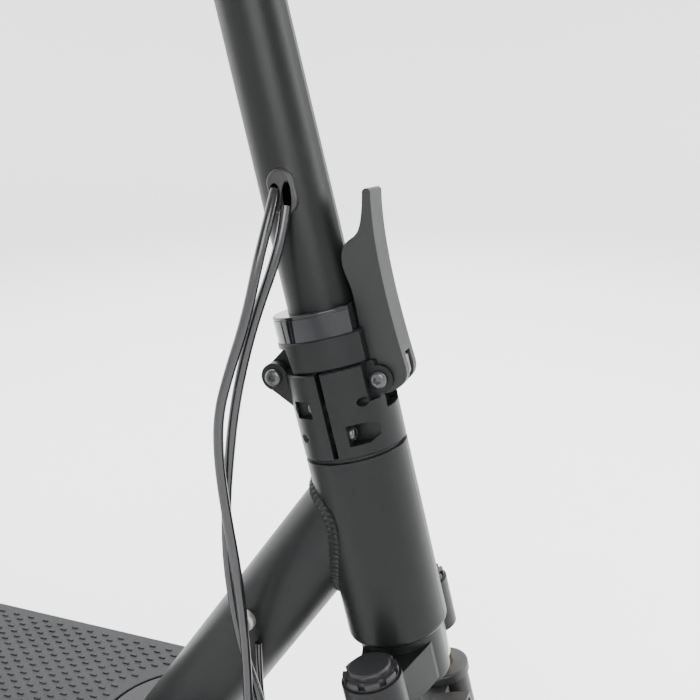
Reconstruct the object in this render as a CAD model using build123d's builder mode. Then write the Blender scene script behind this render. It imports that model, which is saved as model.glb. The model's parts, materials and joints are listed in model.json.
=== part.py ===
"""Folding electric kick scooter: frame and deck, steered telescopic fork, folding stem and
controls, hub motor, disc brake and side stand.

World frame: +X forward, +Y to the rider's left, +Z up, origin on the ground below the middle.
The front end is drawn in its own frame: s runs up the steering axis, v runs forward from it,
and both are measured from the plane where the hinge block meets the head tube.
"""
from build123d import *
from math import cos, pi, radians, sin, tan
import os

os.makedirs("parts", exist_ok=True)

# ---------------------------------------------------------------- driving dimensions, mm
WHEEL_BASE = 900.0
TYRE_RADIUS = 127.0
TYRE_WIDTH = 54.0
RIM_RADIUS = 76.0

RAKE = 13.8                 # steering axis, back from vertical
AXLE_LEAD = 24.8            # axle ahead of the steering axis
FORK_TRAVEL = 22.0
TYRE_GAP = 21.0             # tyre to crown at full travel
CROWN_HEIGHT = 31.0
HEAD_LENGTH = 114.0
HEAD_RADIUS = 30.0
HEAD_GAP = 2.0              # spacer between head tube and hinge block
LEG_SPREAD = 53.0           # leg centre from the middle plane
LEG_RADIUS = 17.0
ROD_RADIUS = 8.5
STEERER_RADIUS = 14.95

DECK_TOP = 199.0
DECK_WIDTH = 170.0
DECK_DEPTH = 72.0
DECK_WALL = 4.0
DECK_CORNER = 22.0          # rear corners
DECK_NOSE = 60.0            # front corners
MAT_THICK = 3.0
PLATE_THICK = 3.0
DECK_SETBACK = 88.0         # deck front behind the hinge point
NECK_COVER_RADIUS = 58.0

DOWN_TUBE_TOP = 26.0        # radius at the head tube
DOWN_TUBE_FOOT = 28.0       # radius at the deck
DOWN_TUBE_DROP = 26.8       # where its axis meets the steering axis, below the hinge point
DOWN_TUBE_ANGLE = 55.3      # below horizontal
DOWN_TUBE_WALL = 3.0

STEM_FOOT = 20.25           # radius inside the hinge
STEM_TOP = 19.0             # radius above the taper
STEM_WALL = 2.2
STEM_LENGTH = 722.0
TAPER_LENGTH = 170.0

BLOCK_HEIGHT = 50.0
COLLAR_HEIGHT = 17.5
RING_HEIGHT = 14.5
RING_RADIUS = 29.6
PIVOT_BACK = 33.8           # fold pivot behind the steering axis
PIVOT_UP = 49.0
LATCH_FORWARD = 27.6        # lever pivot ahead of the steering axis
LATCH_UP = 38.8
EYE_RADIUS = 8.0
LEVER_WIDTH = 20.0

BAR_LENGTH = 580.0
BAR_MIDDLE = 15.9
BAR_END = 11.1
GRIP_LENGTH = 120.0
GRIP_RADIUS = 16.0

FOLD_CLEAR = 0.4            # beside a turning eye
FIT = 0.05                  # radial play of a turning fit
BOLT_RADIUS = 3.0
CABLE_RADIUS = 2.9
LEAD_RADIUS = 2.25

# ---------------------------------------------------------------- worked-out places
steer_up = Vector(-sin(radians(RAKE)), 0, cos(radians(RAKE)))
steer_forward = Vector(cos(radians(RAKE)), 0, sin(radians(RAKE)))

HEAD_TOP = -HEAD_GAP
HEAD_FOOT = HEAD_TOP - HEAD_LENGTH
CROWN_TOP = HEAD_FOOT - 1.0
CROWN_FOOT = CROWN_TOP - CROWN_HEIGHT
AXLE_S = CROWN_FOOT - FORK_TRAVEL - TYRE_GAP - TYRE_RADIUS
front_axle = Vector(WHEEL_BASE / 2, 0, TYRE_RADIUS)
rear_axle = Vector(-WHEEL_BASE / 2, 0, TYRE_RADIUS)
hinge_point = front_axle - steer_forward * AXLE_LEAD - steer_up * AXLE_S

steer_plan = Plane(origin=hinge_point, x_dir=steer_forward, z_dir=steer_up)
steer_side = Plane(origin=hinge_point, x_dir=steer_forward, z_dir=(0, -1, 0))


def spot(v, y, s):
    """World point of a place given ahead of, beside and up the steering axis."""
    return hinge_point + steer_forward * v + Vector(0, y, 0) + steer_up * s


def label_and_write(name, solid):
    solid.label = name
    export_step(solid, f"parts/{name}.step")


def rod(start, end, radius):
    """A round bar between two world points."""
    with BuildPart() as bar:
        with BuildSketch(Plane(origin=start, z_dir=end - start)):
            Circle(radius)
        extrude(amount=(end - start).length)
    return bar.part


def button_bolt(radius, length, nut):
    """Button-head bolt along -Z, its head standing on Z = 0, with a nut at the far end."""
    head = radius * 1.72
    with BuildPart() as bolt:
        Cylinder(radius, length, align=(Align.CENTER, Align.CENTER, Align.MAX))
        with BuildSketch(Plane.XY):
            Circle(head)
        extrude(amount=radius * 1.1)
        fillet(bolt.faces().sort_by(Axis.Z)[-1].edges(), radius * 0.8)
        with BuildSketch(Plane.XY.offset(radius * 1.1)):
            RegularPolygon(radius * 0.75, 6)
        extrude(amount=-radius * 0.75, mode=Mode.SUBTRACT)
        if nut:
            with BuildSketch(Plane.XY.offset(-nut)):
                RegularPolygon(radius * 1.75, 6)
            extrude(amount=-radius * 1.3)
    return bolt.part


# ================================================================ frame
DECK_BOTTOM = DECK_TOP - DECK_DEPTH
SKIN_TOP = DECK_TOP - MAT_THICK
SKIN_UNDER = SKIN_TOP - DECK_WALL
DECK_FRONT = hinge_point.X - DECK_SETBACK
DECK_REAR = rear_axle.X + TYRE_RADIUS + 20.0
DECK_MIDDLE = (DECK_FRONT + DECK_REAR) / 2
FLANGE_THICK = 6.0
tube_top = spot(0, 0, -DOWN_TUBE_DROP)
tube_run = Vector(-cos(radians(DOWN_TUBE_ANGLE)), 0, -sin(radians(DOWN_TUBE_ANGLE)))
tube_plane = Plane(origin=tube_top, x_dir=(0, 1, 0), z_dir=tube_run)
FOOT_Z = SKIN_UNDER - FLANGE_THICK
TUBE_LENGTH = (tube_top.Z - SKIN_TOP) / -tube_run.Z
tube_foot = tube_top + tube_run * TUBE_LENGTH
BEARING_OUTER = 23.5
BEARING_INNER = 15.0
BEARING_HEIGHT = 9.0


def down_tube(grow):
    """The down tube's cone, grown by a wall or a clearance, run on past the deck skin."""
    slope = (DOWN_TUBE_FOOT - DOWN_TUBE_TOP) / TUBE_LENGTH
    run_on = TUBE_LENGTH + 40
    with BuildPart() as cone:
        with BuildSketch(tube_plane):
            Circle(DOWN_TUBE_TOP + grow)
        with BuildSketch(tube_plane.offset(run_on)):
            Circle(DOWN_TUBE_TOP + grow + slope * run_on)
        loft()
    return cone.part


tube_outside = down_tube(0)
tube_inside = down_tube(-DOWN_TUBE_WALL)
tube_in_skin = down_tube(0.4)
tube_in_cover = down_tube(0.5)


FLANGE_LENGTH = 96.0
FLANGE_WIDTH = 104.0
flange_x = tube_foot.X - 8
flange_bolts = [(flange_x + dx, dy) for dx in (-40, 28) for dy in (-42, 42)]
with BuildPart() as frame_neck:
    add(tube_outside)
    with BuildSketch(Plane.XY.offset(FOOT_Z)):
        Rectangle(4 * WHEEL_BASE, 400)
    extrude(amount=-400, mode=Mode.SUBTRACT)
    with BuildSketch(steer_plan.offset(HEAD_FOOT)):
        Circle(HEAD_RADIUS)
    extrude(amount=HEAD_LENGTH)
    with BuildSketch(Plane.XY.offset(FOOT_Z)):
        with Locations((flange_x, 0)):
            RectangleRounded(FLANGE_LENGTH, FLANGE_WIDTH, 12)
    extrude(amount=FLANGE_THICK)
    add(tube_inside, mode=Mode.SUBTRACT)
    with BuildSketch(steer_plan.offset(HEAD_FOOT)):
        Circle(BEARING_OUTER - 2.5)
    extrude(amount=HEAD_LENGTH, mode=Mode.SUBTRACT)
    for seat in (HEAD_FOOT, HEAD_TOP - BEARING_HEIGHT):
        with BuildSketch(steer_plan.offset(seat)):
            Circle(BEARING_OUTER)
        extrude(amount=BEARING_HEIGHT, mode=Mode.SUBTRACT)
    with Locations(*[(x, y, FOOT_Z + FLANGE_THICK / 2) for x, y in flange_bolts]):
        Cylinder(BOLT_RADIUS + FIT, FLANGE_THICK * 2, mode=Mode.SUBTRACT)
    foot_rim = frame_neck.edges().filter_by(GeomType.CIRCLE)
    foot_rim = foot_rim.filter_by(lambda e: abs(e.radius - HEAD_RADIUS) < 0.01)
    fillet(foot_rim.sort_by(Axis.Z)[:1], 3.5)
label_and_write("frame_neck", frame_neck.part)

with BuildPart() as headset_bearings:
    for seat in (HEAD_FOOT, HEAD_TOP - BEARING_HEIGHT):
        with BuildSketch(steer_plan.offset(seat)):
            Circle(BEARING_OUTER)
            Circle(BEARING_INNER, mode=Mode.SUBTRACT)
        extrude(amount=BEARING_HEIGHT)
label_and_write("headset_bearings", headset_bearings.part)



def deck_outline(inset):
    """The deck seen from above, drawn in by an inset."""
    with BuildSketch() as outline:
        with Locations((DECK_MIDDLE, 0)):
            Rectangle(DECK_FRONT - DECK_REAR - 2 * inset, DECK_WIDTH - 2 * inset)
        fillet(outline.vertices().group_by(Axis.X)[-1], DECK_NOSE - inset)
        fillet(outline.vertices().sort_by(Axis.X)[:2], DECK_CORNER - inset)
    return outline.sketch


PLATE_SCREW = 2.0
PLATE_BOSS = 5.5
boss_y = DECK_WIDTH / 2 - DECK_WALL - PLATE_BOSS + 1.5
plate_bolts = [(x, y) for x in (DECK_REAR + 24, DECK_MIDDLE, DECK_FRONT - 70)
               for y in (-boss_y, boss_y)]
ARM_GAP = 41.0              # inner face of a rear arm from the middle plane
ARM_THICK = 8.0
ARM_FLANGE = 6.0
arm_root_top = SKIN_UNDER - 12
arm_root_foot = DECK_BOTTOM + 4
arm_bolts = [(side * (ARM_GAP + ARM_THICK + 9), z) for side in (-1, 1)
             for z in (arm_root_foot + 10, arm_root_top - 10)]
deck_face = deck_outline(0)
bay_face = deck_outline(DECK_WALL)
mat_face = deck_outline(3)
gland_z = DECK_BOTTOM + 41
cable_holes = {"brake": -60.0, "loom": -46.0}
GLAND_THICK = 5.0
REAR_CABLE_Y = 34.0
REAR_CABLE_Z = 157.0
with BuildPart() as deck_tray:
    with BuildSketch(Plane.XY.offset(DECK_BOTTOM + PLATE_THICK)):
        add(deck_face)
    extrude(amount=SKIN_TOP - DECK_BOTTOM - PLATE_THICK)
    fillet(deck_tray.faces().sort_by(Axis.Z)[-1].edges(), 3)
    with BuildSketch(Plane.XY.offset(DECK_BOTTOM + PLATE_THICK)):
        add(bay_face)
    extrude(amount=SKIN_UNDER - DECK_BOTTOM - PLATE_THICK, mode=Mode.SUBTRACT)
    add(tube_in_skin, mode=Mode.SUBTRACT)
    with Locations(*[(x, y, SKIN_UNDER) for x, y in flange_bolts]):
        Cylinder(BOLT_RADIUS + FIT, 6, mode=Mode.SUBTRACT)
    with Locations(*[(x, y, DECK_BOTTOM + PLATE_THICK) for x, y in plate_bolts]):
        Cylinder(PLATE_BOSS, 12, align=(Align.CENTER, Align.CENTER, Align.MIN))
    with Locations(*[(x, y, DECK_BOTTOM + PLATE_THICK) for x, y in plate_bolts]):
        Cylinder(PLATE_SCREW + FIT, 20, mode=Mode.SUBTRACT)
    with Locations(*[(DECK_REAR, y, z) for y, z in arm_bolts]):
        Cylinder(BOLT_RADIUS + FIT, 3 * DECK_WALL, rotation=(0, 90, 0), mode=Mode.SUBTRACT)
    with Locations(*[(DECK_FRONT, y, gland_z) for y in cable_holes.values()]):
        Box(DECK_NOSE, 9, 9, mode=Mode.SUBTRACT)
    with Locations((DECK_REAR, REAR_CABLE_Y, REAR_CABLE_Z)):
        Cylinder(CABLE_RADIUS + 1, 3 * DECK_WALL, rotation=(0, 90, 0), mode=Mode.SUBTRACT)
label_and_write("deck_tray", deck_tray.part)

with BuildPart() as base_plate:
    with BuildSketch(Plane.XY.offset(DECK_BOTTOM)):
        add(deck_face)
    extrude(amount=PLATE_THICK)
    chamfer(base_plate.faces().sort_by(Axis.Z)[0].edges(), 1)
    with Locations(*[(x, y, DECK_BOTTOM) for x, y in plate_bolts]):
        Cylinder(PLATE_SCREW + FIT, 20, mode=Mode.SUBTRACT)
label_and_write("base_plate", base_plate.part)

cover_x = tube_foot.X + 6
cover_front = DECK_FRONT - 6
GROOVE = 2.5
with BuildPart() as deck_mat:
    with BuildSketch(Plane.XY.offset(SKIN_TOP)):
        add(mat_face)
        with Locations((cover_x, 0)):
            Circle(NECK_COVER_RADIUS + GROOVE, mode=Mode.SUBTRACT)
        with Locations((cover_x + 100, 0)):
            Rectangle(200, 2 * (NECK_COVER_RADIUS + GROOVE), mode=Mode.SUBTRACT)
    extrude(amount=MAT_THICK)
    fillet(deck_mat.faces().sort_by(Axis.Z)[-1].edges(), 0.8)
label_and_write("deck_mat", deck_mat.part)

with BuildPart() as neck_cover:
    with BuildSketch(Plane.XY.offset(SKIN_TOP)):
        with Locations((cover_x, 0)):
            Circle(NECK_COVER_RADIUS)
        with Locations(((cover_x + cover_front) / 2, 0)):
            Rectangle(cover_front - cover_x, 2 * NECK_COVER_RADIUS)
        with Locations((cover_front + 100, 0)):
            Rectangle(200, 3 * NECK_COVER_RADIUS, mode=Mode.SUBTRACT)
    extrude(amount=MAT_THICK + 0.6)
    fillet(neck_cover.faces().sort_by(Axis.Z)[-1].edges(), 1)
    add(tube_in_cover, mode=Mode.SUBTRACT)
label_and_write("neck_cover", neck_cover.part)

BAY_FLOOR = DECK_BOTTOM + PLATE_THICK + 1
CONTROLLER_LENGTH = 84.0
controller_x = DECK_FRONT - 48 - CONTROLLER_LENGTH / 2
battery_front = controller_x - CONTROLLER_LENGTH / 2 - 14
battery_rear = DECK_REAR + 30
with BuildPart() as battery_pack:
    with Locations(((battery_front + battery_rear) / 2, 0, BAY_FLOOR)):
        Box(battery_front - battery_rear, 2 * (boss_y - PLATE_BOSS) - 4, DECK_DEPTH - 24,
            align=(Align.CENTER, Align.CENTER, Align.MIN))
    fillet(battery_pack.edges(), 4)
label_and_write("battery_pack", battery_pack.part)

with BuildPart() as controller:
    with Locations((controller_x, 0, BAY_FLOOR)):
        Box(CONTROLLER_LENGTH, 96, 26, align=(Align.CENTER, Align.CENTER, Align.MIN))
    with Locations((controller_x, 0, BAY_FLOOR + 26)):
        with GridLocations(0, 12, 1, 7):
            Box(CONTROLLER_LENGTH, 4, 6, align=(Align.CENTER, Align.CENTER, Align.MIN))
label_and_write("controller", controller.part)

port_x = DECK_FRONT - 70
port_z = DECK_BOTTOM + DECK_DEPTH / 2
PORT_RADIUS = 9.0
with BuildPart() as charge_port:
    with BuildSketch(Plane.XZ.offset(-DECK_WIDTH / 2)):
        with Locations((port_x, port_z)):
            Circle(PORT_RADIUS + 4)
    extrude(amount=-3)
    fillet(charge_port.faces().sort_by(Axis.Y)[-1].edges(), 2)
    with BuildSketch(Plane.XZ.offset(-DECK_WIDTH / 2 - 3)):
        with Locations((port_x, port_z)):
            Circle(PORT_RADIUS - 3)
    extrude(amount=2.4, mode=Mode.SUBTRACT)
    with Locations((port_x, DECK_WIDTH / 2 + 1.2, port_z)):
        Cylinder(2, 2.4, rotation=(90, 0, 0))
label_and_write("charge_port", charge_port.part)

with BuildPart() as deck_solid:
    with BuildSketch(Plane.XY.offset(DECK_BOTTOM)):
        add(deck_face)
    extrude(amount=SKIN_TOP - DECK_BOTTOM)
deck_block = deck_solid.part
gland_sides = list(cable_holes.values())
gland_y = sum(gland_sides) / 2
with BuildPart() as deck_gland:
    with BuildSketch(Plane.YZ.offset(DECK_FRONT + GLAND_THICK)):
        with Locations((gland_y, gland_z)):
            SlotOverall(36, 16)
    extrude(amount=-DECK_NOSE / 2)
    fillet(deck_gland.faces().sort_by(Axis.X)[-1].edges(), 1.5)
    add(deck_block, mode=Mode.SUBTRACT)
    with BuildSketch(Plane.YZ.offset(DECK_FRONT + GLAND_THICK)):
        with Locations(*[(y, gland_z) for y in gland_sides]):
            Circle(CABLE_RADIUS + 0.3)
    extrude(amount=-DECK_NOSE / 2, mode=Mode.SUBTRACT)
# ---------------------------------------------------------------- rear end
ARM_END = 20.0
AXLE_RADIUS = 6.0


def rear_arm(side):
    """One bolted plate from the deck's rear wall to the rear axle."""
    with BuildPart() as arm:
        with BuildSketch(Plane.XZ.offset(-side * (ARM_GAP + ARM_THICK / 2))):
            with BuildLine():
                Polyline((DECK_REAR, arm_root_foot), (DECK_REAR, arm_root_top),
                         (DECK_REAR - 22, arm_root_top), (rear_axle.X + 30, rear_axle.Z + 18),
                         (rear_axle.X, rear_axle.Z + ARM_END), (rear_axle.X, rear_axle.Z - ARM_END),
                         (rear_axle.X + 40, rear_axle.Z - ARM_END), (DECK_REAR, arm_root_foot))
            make_face()
            with Locations((rear_axle.X, rear_axle.Z)):
                Circle(ARM_END)
        extrude(amount=ARM_THICK / 2, both=True)
        flange_y = side * (ARM_GAP + ARM_THICK + 9)
        with Locations((DECK_REAR - ARM_FLANGE / 2, flange_y, (arm_root_top + arm_root_foot) / 2)):
            Box(ARM_FLANGE, 20, arm_root_top - arm_root_foot)
        with Locations((rear_axle.X, side * ARM_GAP, rear_axle.Z)):
            Cylinder(AXLE_RADIUS + FIT, 40, rotation=(90, 0, 0), mode=Mode.SUBTRACT)
        with Locations(*[(DECK_REAR, y, z) for y, z in arm_bolts]):
            Cylinder(BOLT_RADIUS + FIT, 30, rotation=(0, 90, 0), mode=Mode.SUBTRACT)
    return arm.part


def group(solids):
    """Separate solids that share one node."""
    return Compound(children=list(solids))


label_and_write("rear_arms", group([rear_arm(1), rear_arm(-1)]))

HUB_HALF = 30.0
with BuildPart() as rear_axle_bolt:
    Cylinder(AXLE_RADIUS, 2 * (ARM_GAP + ARM_THICK + 9))
    for z in (-1, 1):
        with BuildSketch(Plane.XY.offset(z * (ARM_GAP + ARM_THICK))):
            RegularPolygon(10, 6)
        extrude(amount=z * 7)
        with BuildSketch(Plane.XY.offset(z * (HUB_HALF + 0.5))):
            Circle(AXLE_RADIUS + 3)
        extrude(amount=z * (ARM_GAP - HUB_HALF - 0.5))
rear_axle_part = Location(rear_axle, (90, 0, 0)) * rear_axle_bolt.part
label_and_write("rear_axle", rear_axle_part)



def around(angle):
    """Direction in the middle plane, in degrees up from straight ahead."""
    return Vector(cos(radians(angle)), 0, sin(radians(angle)))


FENDER_GAP = 11.0
FENDER_THICK = 2.5
FENDER_HALF = 36.0
FENDER_FRONT = 24.0         # degrees round the axle, from straight ahead
FENDER_BACK = 150.0
fender_inner = TYRE_RADIUS + FENDER_GAP
with BuildPart() as rear_fender:
    with BuildSketch(Plane(origin=rear_axle, x_dir=around(FENDER_FRONT),
                           z_dir=around(FENDER_FRONT - 90))):
        with BuildLine():
            Polyline((fender_inner - 16, FENDER_HALF), (fender_inner - 16, FENDER_HALF - FENDER_THICK),
                     (fender_inner - 4, FENDER_HALF - FENDER_THICK),
                     (fender_inner, FENDER_HALF - FENDER_THICK - 5),
                     (fender_inner, 5 + FENDER_THICK - FENDER_HALF),
                     (fender_inner - 4, FENDER_THICK - FENDER_HALF),
                     (fender_inner - 16, FENDER_THICK - FENDER_HALF), (fender_inner - 16, -FENDER_HALF),
                     (fender_inner - 3, -FENDER_HALF), (fender_inner + FENDER_THICK, 5 - FENDER_HALF),
                     (fender_inner + FENDER_THICK, FENDER_HALF - 5), (fender_inner - 3, FENDER_HALF),
                     (fender_inner - 16, FENDER_HALF))
        make_face()
    revolve(axis=Axis(rear_axle, (0, -1, 0)), revolution_arc=FENDER_BACK - FENDER_FRONT)
    with Locations((DECK_REAR - 12, 0, arm_root_top + 2)):
        Box(24, 44, 16)
label_and_write("rear_fender", rear_fender.part)

LIGHT_ANGLE = 141.0
light_seat = Plane(origin=rear_axle + around(LIGHT_ANGLE) * (fender_inner + FENDER_THICK + 1.5),
                   x_dir=(0, 1, 0), z_dir=around(LIGHT_ANGLE))
with BuildPart() as rear_light:
    with BuildSketch(light_seat.offset(0.1)):
        RectangleRounded(44, 16, 6)
    extrude(amount=6)
    fillet(rear_light.faces().sort_by(SortBy.DISTANCE, reverse=True)[0].edges(), 1)
label_and_write("rear_light", rear_light.part)

DISC_RADIUS = 60.0
DISC_THICK = 2.0
DISC_SIDE = 34.0
CALIPER_ANGLE = 28.0
caliper_mid = Vector(rear_axle.X + (DISC_RADIUS - 8) * cos(radians(CALIPER_ANGLE)), DISC_SIDE,
                     rear_axle.Z + (DISC_RADIUS - 8) * sin(radians(CALIPER_ANGLE)))
with BuildPart() as brake_caliper:
    with Locations(Location(caliper_mid, (0, -CALIPER_ANGLE, 0))):
        Box(30, 13, 40)
        fillet(brake_caliper.edges(), 2.5)
        Box(60, DISC_THICK + 1.6, 60, mode=Mode.SUBTRACT)
        with Locations((14, 0, 0)):
            Box(6, 13, 34)
label_and_write("brake_caliper", brake_caliper.part)

# ---------------------------------------------------------------- side stand
STAND_X = 20.0
STAND_RADIUS = 7.0
STAND_SPREAD = 27.0         # degrees outward from straight down
STAND_REACH = 7.0           # degrees forward from straight down
stand_pivot = Vector(STAND_X, DECK_WIDTH / 2 - 16, DECK_BOTTOM - 19)
stand_axis = Vector(0, cos(radians(STAND_SPREAD)), sin(radians(STAND_SPREAD)))
stand_drop = Vector(0, sin(radians(STAND_SPREAD)), -cos(radians(STAND_SPREAD)))
stand_line = stand_drop * cos(radians(STAND_REACH)) + Vector(sin(radians(STAND_REACH)), 0, 0)
FOOT_HALF = 5.0
stand_length = (stand_pivot.Z - FOOT_HALF) / -stand_line.Z
stand_foot_at = stand_pivot + stand_line * stand_length
stand_hub = Plane(origin=stand_pivot, x_dir=(1, 0, 0), z_dir=stand_axis)
with BuildPart() as stand_bracket:
    with Locations((STAND_X, stand_pivot.Y - 8, DECK_BOTTOM - 2)):
        Box(54, 34, 4)
    with Locations((STAND_X, stand_pivot.Y - 15, DECK_BOTTOM - 13)):
        Box(22, 16, 22)
    with BuildSketch(stand_hub.offset(-23)):
        Circle(11)
    extrude(amount=15)
    with BuildSketch(stand_hub.offset(-8)):
        Circle(13)
    extrude(amount=30, mode=Mode.SUBTRACT)
    with BuildSketch(stand_hub.offset(-40)):
        Circle(BOLT_RADIUS + 1 + FIT)
    extrude(amount=60, mode=Mode.SUBTRACT)
label_and_write("stand_bracket", stand_bracket.part)

with BuildPart() as stand_leg:
    with BuildSketch(stand_hub.offset(-7.6)):
        Circle(10.5)
    extrude(amount=13)
    with BuildSketch(stand_hub.offset(-22)):
        Circle(BOLT_RADIUS + 1)
    extrude(amount=16)
    with BuildSketch(Plane(origin=stand_pivot, z_dir=stand_line)):
        Circle(STAND_RADIUS - 1)
    extrude(amount=stand_length)
    with Locations(Location(stand_foot_at)):
        Cylinder(15, 2 * FOOT_HALF)
    fillet(stand_leg.faces().filter_by(Axis.Z).sort_by(Axis.Z)[:2].edges(), 2)
label_and_write("stand_leg", stand_leg.part)

# ---------------------------------------------------------------- frame fasteners
flange_screw = button_bolt(BOLT_RADIUS, 8.5, 0)
plate_screw = button_bolt(PLATE_SCREW, 8, 0)
arm_screw = button_bolt(BOLT_RADIUS, 16, 0)
with BuildPart() as frame_screws:
    for x, y in flange_bolts:
        with Locations(Location((x, y, SKIN_UNDER - FLANGE_THICK), (180, 0, 0))):
            add(flange_screw)
    for x, y in plate_bolts:
        with Locations(Location((x, y, DECK_BOTTOM), (180, 0, 0))):
            add(plate_screw)
    for y, z in arm_bolts:
        with Locations(Location((DECK_REAR - ARM_FLANGE, y, z), (0, -90, 0))):
            add(arm_screw)
label_and_write("frame_screws", frame_screws.part)

# ================================================================ fork
STEERER_TOP = 34.0
STEERER_BORE = 12.0
with BuildPart() as steerer_tube:
    with BuildSketch(steer_plan.offset(CROWN_FOOT + 2)):
        Circle(STEERER_RADIUS)
        Circle(STEERER_BORE, mode=Mode.SUBTRACT)
    extrude(amount=STEERER_TOP - CROWN_FOOT - 2)
label_and_write("steerer_tube", steerer_tube.part)

with BuildPart() as headset_spacer:
    with BuildSketch(steer_plan.offset(HEAD_TOP + FIT)):
        Circle(HEAD_RADIUS - 2.5)
        Circle(STEERER_RADIUS + FIT, mode=Mode.SUBTRACT)
    extrude(amount=HEAD_GAP - 2 * FIT)
label_and_write("headset_spacer", headset_spacer.part)

SHOULDER_TOP = CROWN_TOP + 1.0
BOSS_RADIUS = 25.0
BRIDGE = 23.0               # crown arm height
with BuildPart() as fork_crown:
    with BuildSketch(steer_plan.offset(CROWN_FOOT)):
        Circle(BOSS_RADIUS)
    extrude(amount=CROWN_HEIGHT)
    with BuildSketch(steer_plan.offset(CROWN_FOOT)):
        with Locations((0, -LEG_SPREAD), (0, LEG_SPREAD)):
            Circle(LEG_RADIUS)
    extrude(amount=SHOULDER_TOP - CROWN_FOOT)
    with BuildSketch(steer_plan.offset(CROWN_FOOT + 3)):
        with BuildLine():
            Polyline((24, 0), (22, 14), (12, LEG_SPREAD - 6), (-12, LEG_SPREAD - 6), (-20, 14),
                     (-22, 0), (-20, -14), (-12, 6 - LEG_SPREAD), (12, 6 - LEG_SPREAD), (22, -14),
                     (24, 0))
        make_face()
    extrude(amount=BRIDGE)
    with BuildSketch(steer_plan.offset(CROWN_TOP)):
        Circle(STEERER_RADIUS + 2.6)
    extrude(amount=HEAD_FOOT - CROWN_TOP - FIT)
    with BuildSketch(steer_plan.offset(CROWN_FOOT)):
        Circle(STEERER_RADIUS + FIT)
        with Locations((0, -LEG_SPREAD), (0, LEG_SPREAD)):
            Circle(ROD_RADIUS + FIT)
    extrude(amount=60, mode=Mode.SUBTRACT)
    fillet(fork_crown.faces().sort_by(Axis.Z)[0].edges(), 1.5)
label_and_write("fork_crown", fork_crown.part)

SEAL_TOP = CROWN_FOOT - 30.0
ROD_FOOT = SEAL_TOP - 60.0
CAP_HEIGHT = 7.0

with BuildPart() as fork_rods:
    with BuildSketch(steer_plan.offset(ROD_FOOT)):
        with Locations((0, -LEG_SPREAD), (0, LEG_SPREAD)):
            Circle(ROD_RADIUS)
    extrude(amount=SHOULDER_TOP - ROD_FOOT - 0.5)
label_and_write("fork_rods", fork_rods.part)

CAP_RADIUS = 14.0
CAP_NOTCHES = 8
with BuildPart() as fork_caps:
    with BuildSketch(steer_plan.offset(SHOULDER_TOP)):
        with Locations((0, -LEG_SPREAD), (0, LEG_SPREAD)):
            Circle(CAP_RADIUS + 1.5)
    extrude(amount=4)
    for side in (-LEG_SPREAD, LEG_SPREAD):
        with BuildSketch(steer_plan.offset(SHOULDER_TOP + 1)):
            with Locations((0, side)):
                with PolarLocations(CAP_RADIUS + 1, CAP_NOTCHES):
                    Rectangle(3.2, 4)
        extrude(amount=3, mode=Mode.SUBTRACT)
    with BuildSketch(steer_plan.offset(SHOULDER_TOP + 4)):
        with Locations((0, -LEG_SPREAD), (0, LEG_SPREAD)):
            Circle(CAP_RADIUS - 2)
    extrude(amount=CAP_HEIGHT - 4)
    fillet(fork_caps.faces().sort_by(Axis.Z)[-2:].edges(), 1.2)
label_and_write("fork_caps", fork_caps.part)

# ---------------------------------------------------------------- hinge block
SCREW_SIDE = -22.5
UPPER_SCREW = 30.0
LOWER_SCREW = 13.0
PINCH_RADIUS = 2.5
HEAD_POCKET = 5.0
FRONT_FLAT = 22.0
FLAT_FROM = 29.0
SWING_DROP = 7.0            # relief below the flat for the opening lever's heel
eye_half = LEVER_WIDTH / 2 + FOLD_CLEAR
KNUCKLE_HALF = 6.8
EAR_OUTER = 14.5
LUG_OUTER = 13.4
pivot_v = -PIVOT_BACK


def eye(v, s, radius, low, high):
    """A disc across the bike: centred at v, s, from y = low to y = high."""
    with BuildPart() as disc:
        with BuildSketch(steer_side.offset(-high)):
            with Locations((v, s)):
                Circle(radius)
        extrude(amount=high - low)
    return disc.part


def web(points, low, high):
    """A flat web in the v, s plane from y = low to y = high."""
    with BuildPart() as plate:
        with BuildSketch(steer_side.offset(-high)):
            with BuildLine():
                Polyline(*points, close=True)
            make_face()
        extrude(amount=high - low)
    return plate.part


ear_web = [(pivot_v + 3, PIVOT_UP - EYE_RADIUS), (pivot_v - 4, PIVOT_UP - 6.5),
           (-20, BLOCK_HEIGHT - 26), (-20, BLOCK_HEIGHT - 0.5), (pivot_v + 6, BLOCK_HEIGHT - 0.5)]
lug_web = [(LATCH_FORWARD - 3, LATCH_UP - 7.4), (18, LATCH_UP - 11), (18, LATCH_UP + 9),
           (LATCH_FORWARD + 2, LATCH_UP + 7.4)]
block_adds = []
for side in (-1, 1):
    ear_y = sorted((side * (KNUCKLE_HALF + FOLD_CLEAR), side * EAR_OUTER))
    lug_y = sorted((side * eye_half, side * LUG_OUTER))
    block_adds += [eye(pivot_v, PIVOT_UP, EYE_RADIUS, *ear_y), web(ear_web, *ear_y)]
    block_adds += [eye(LATCH_FORWARD, LATCH_UP, EYE_RADIUS, *lug_y), web(lug_web, *lug_y)]
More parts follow.
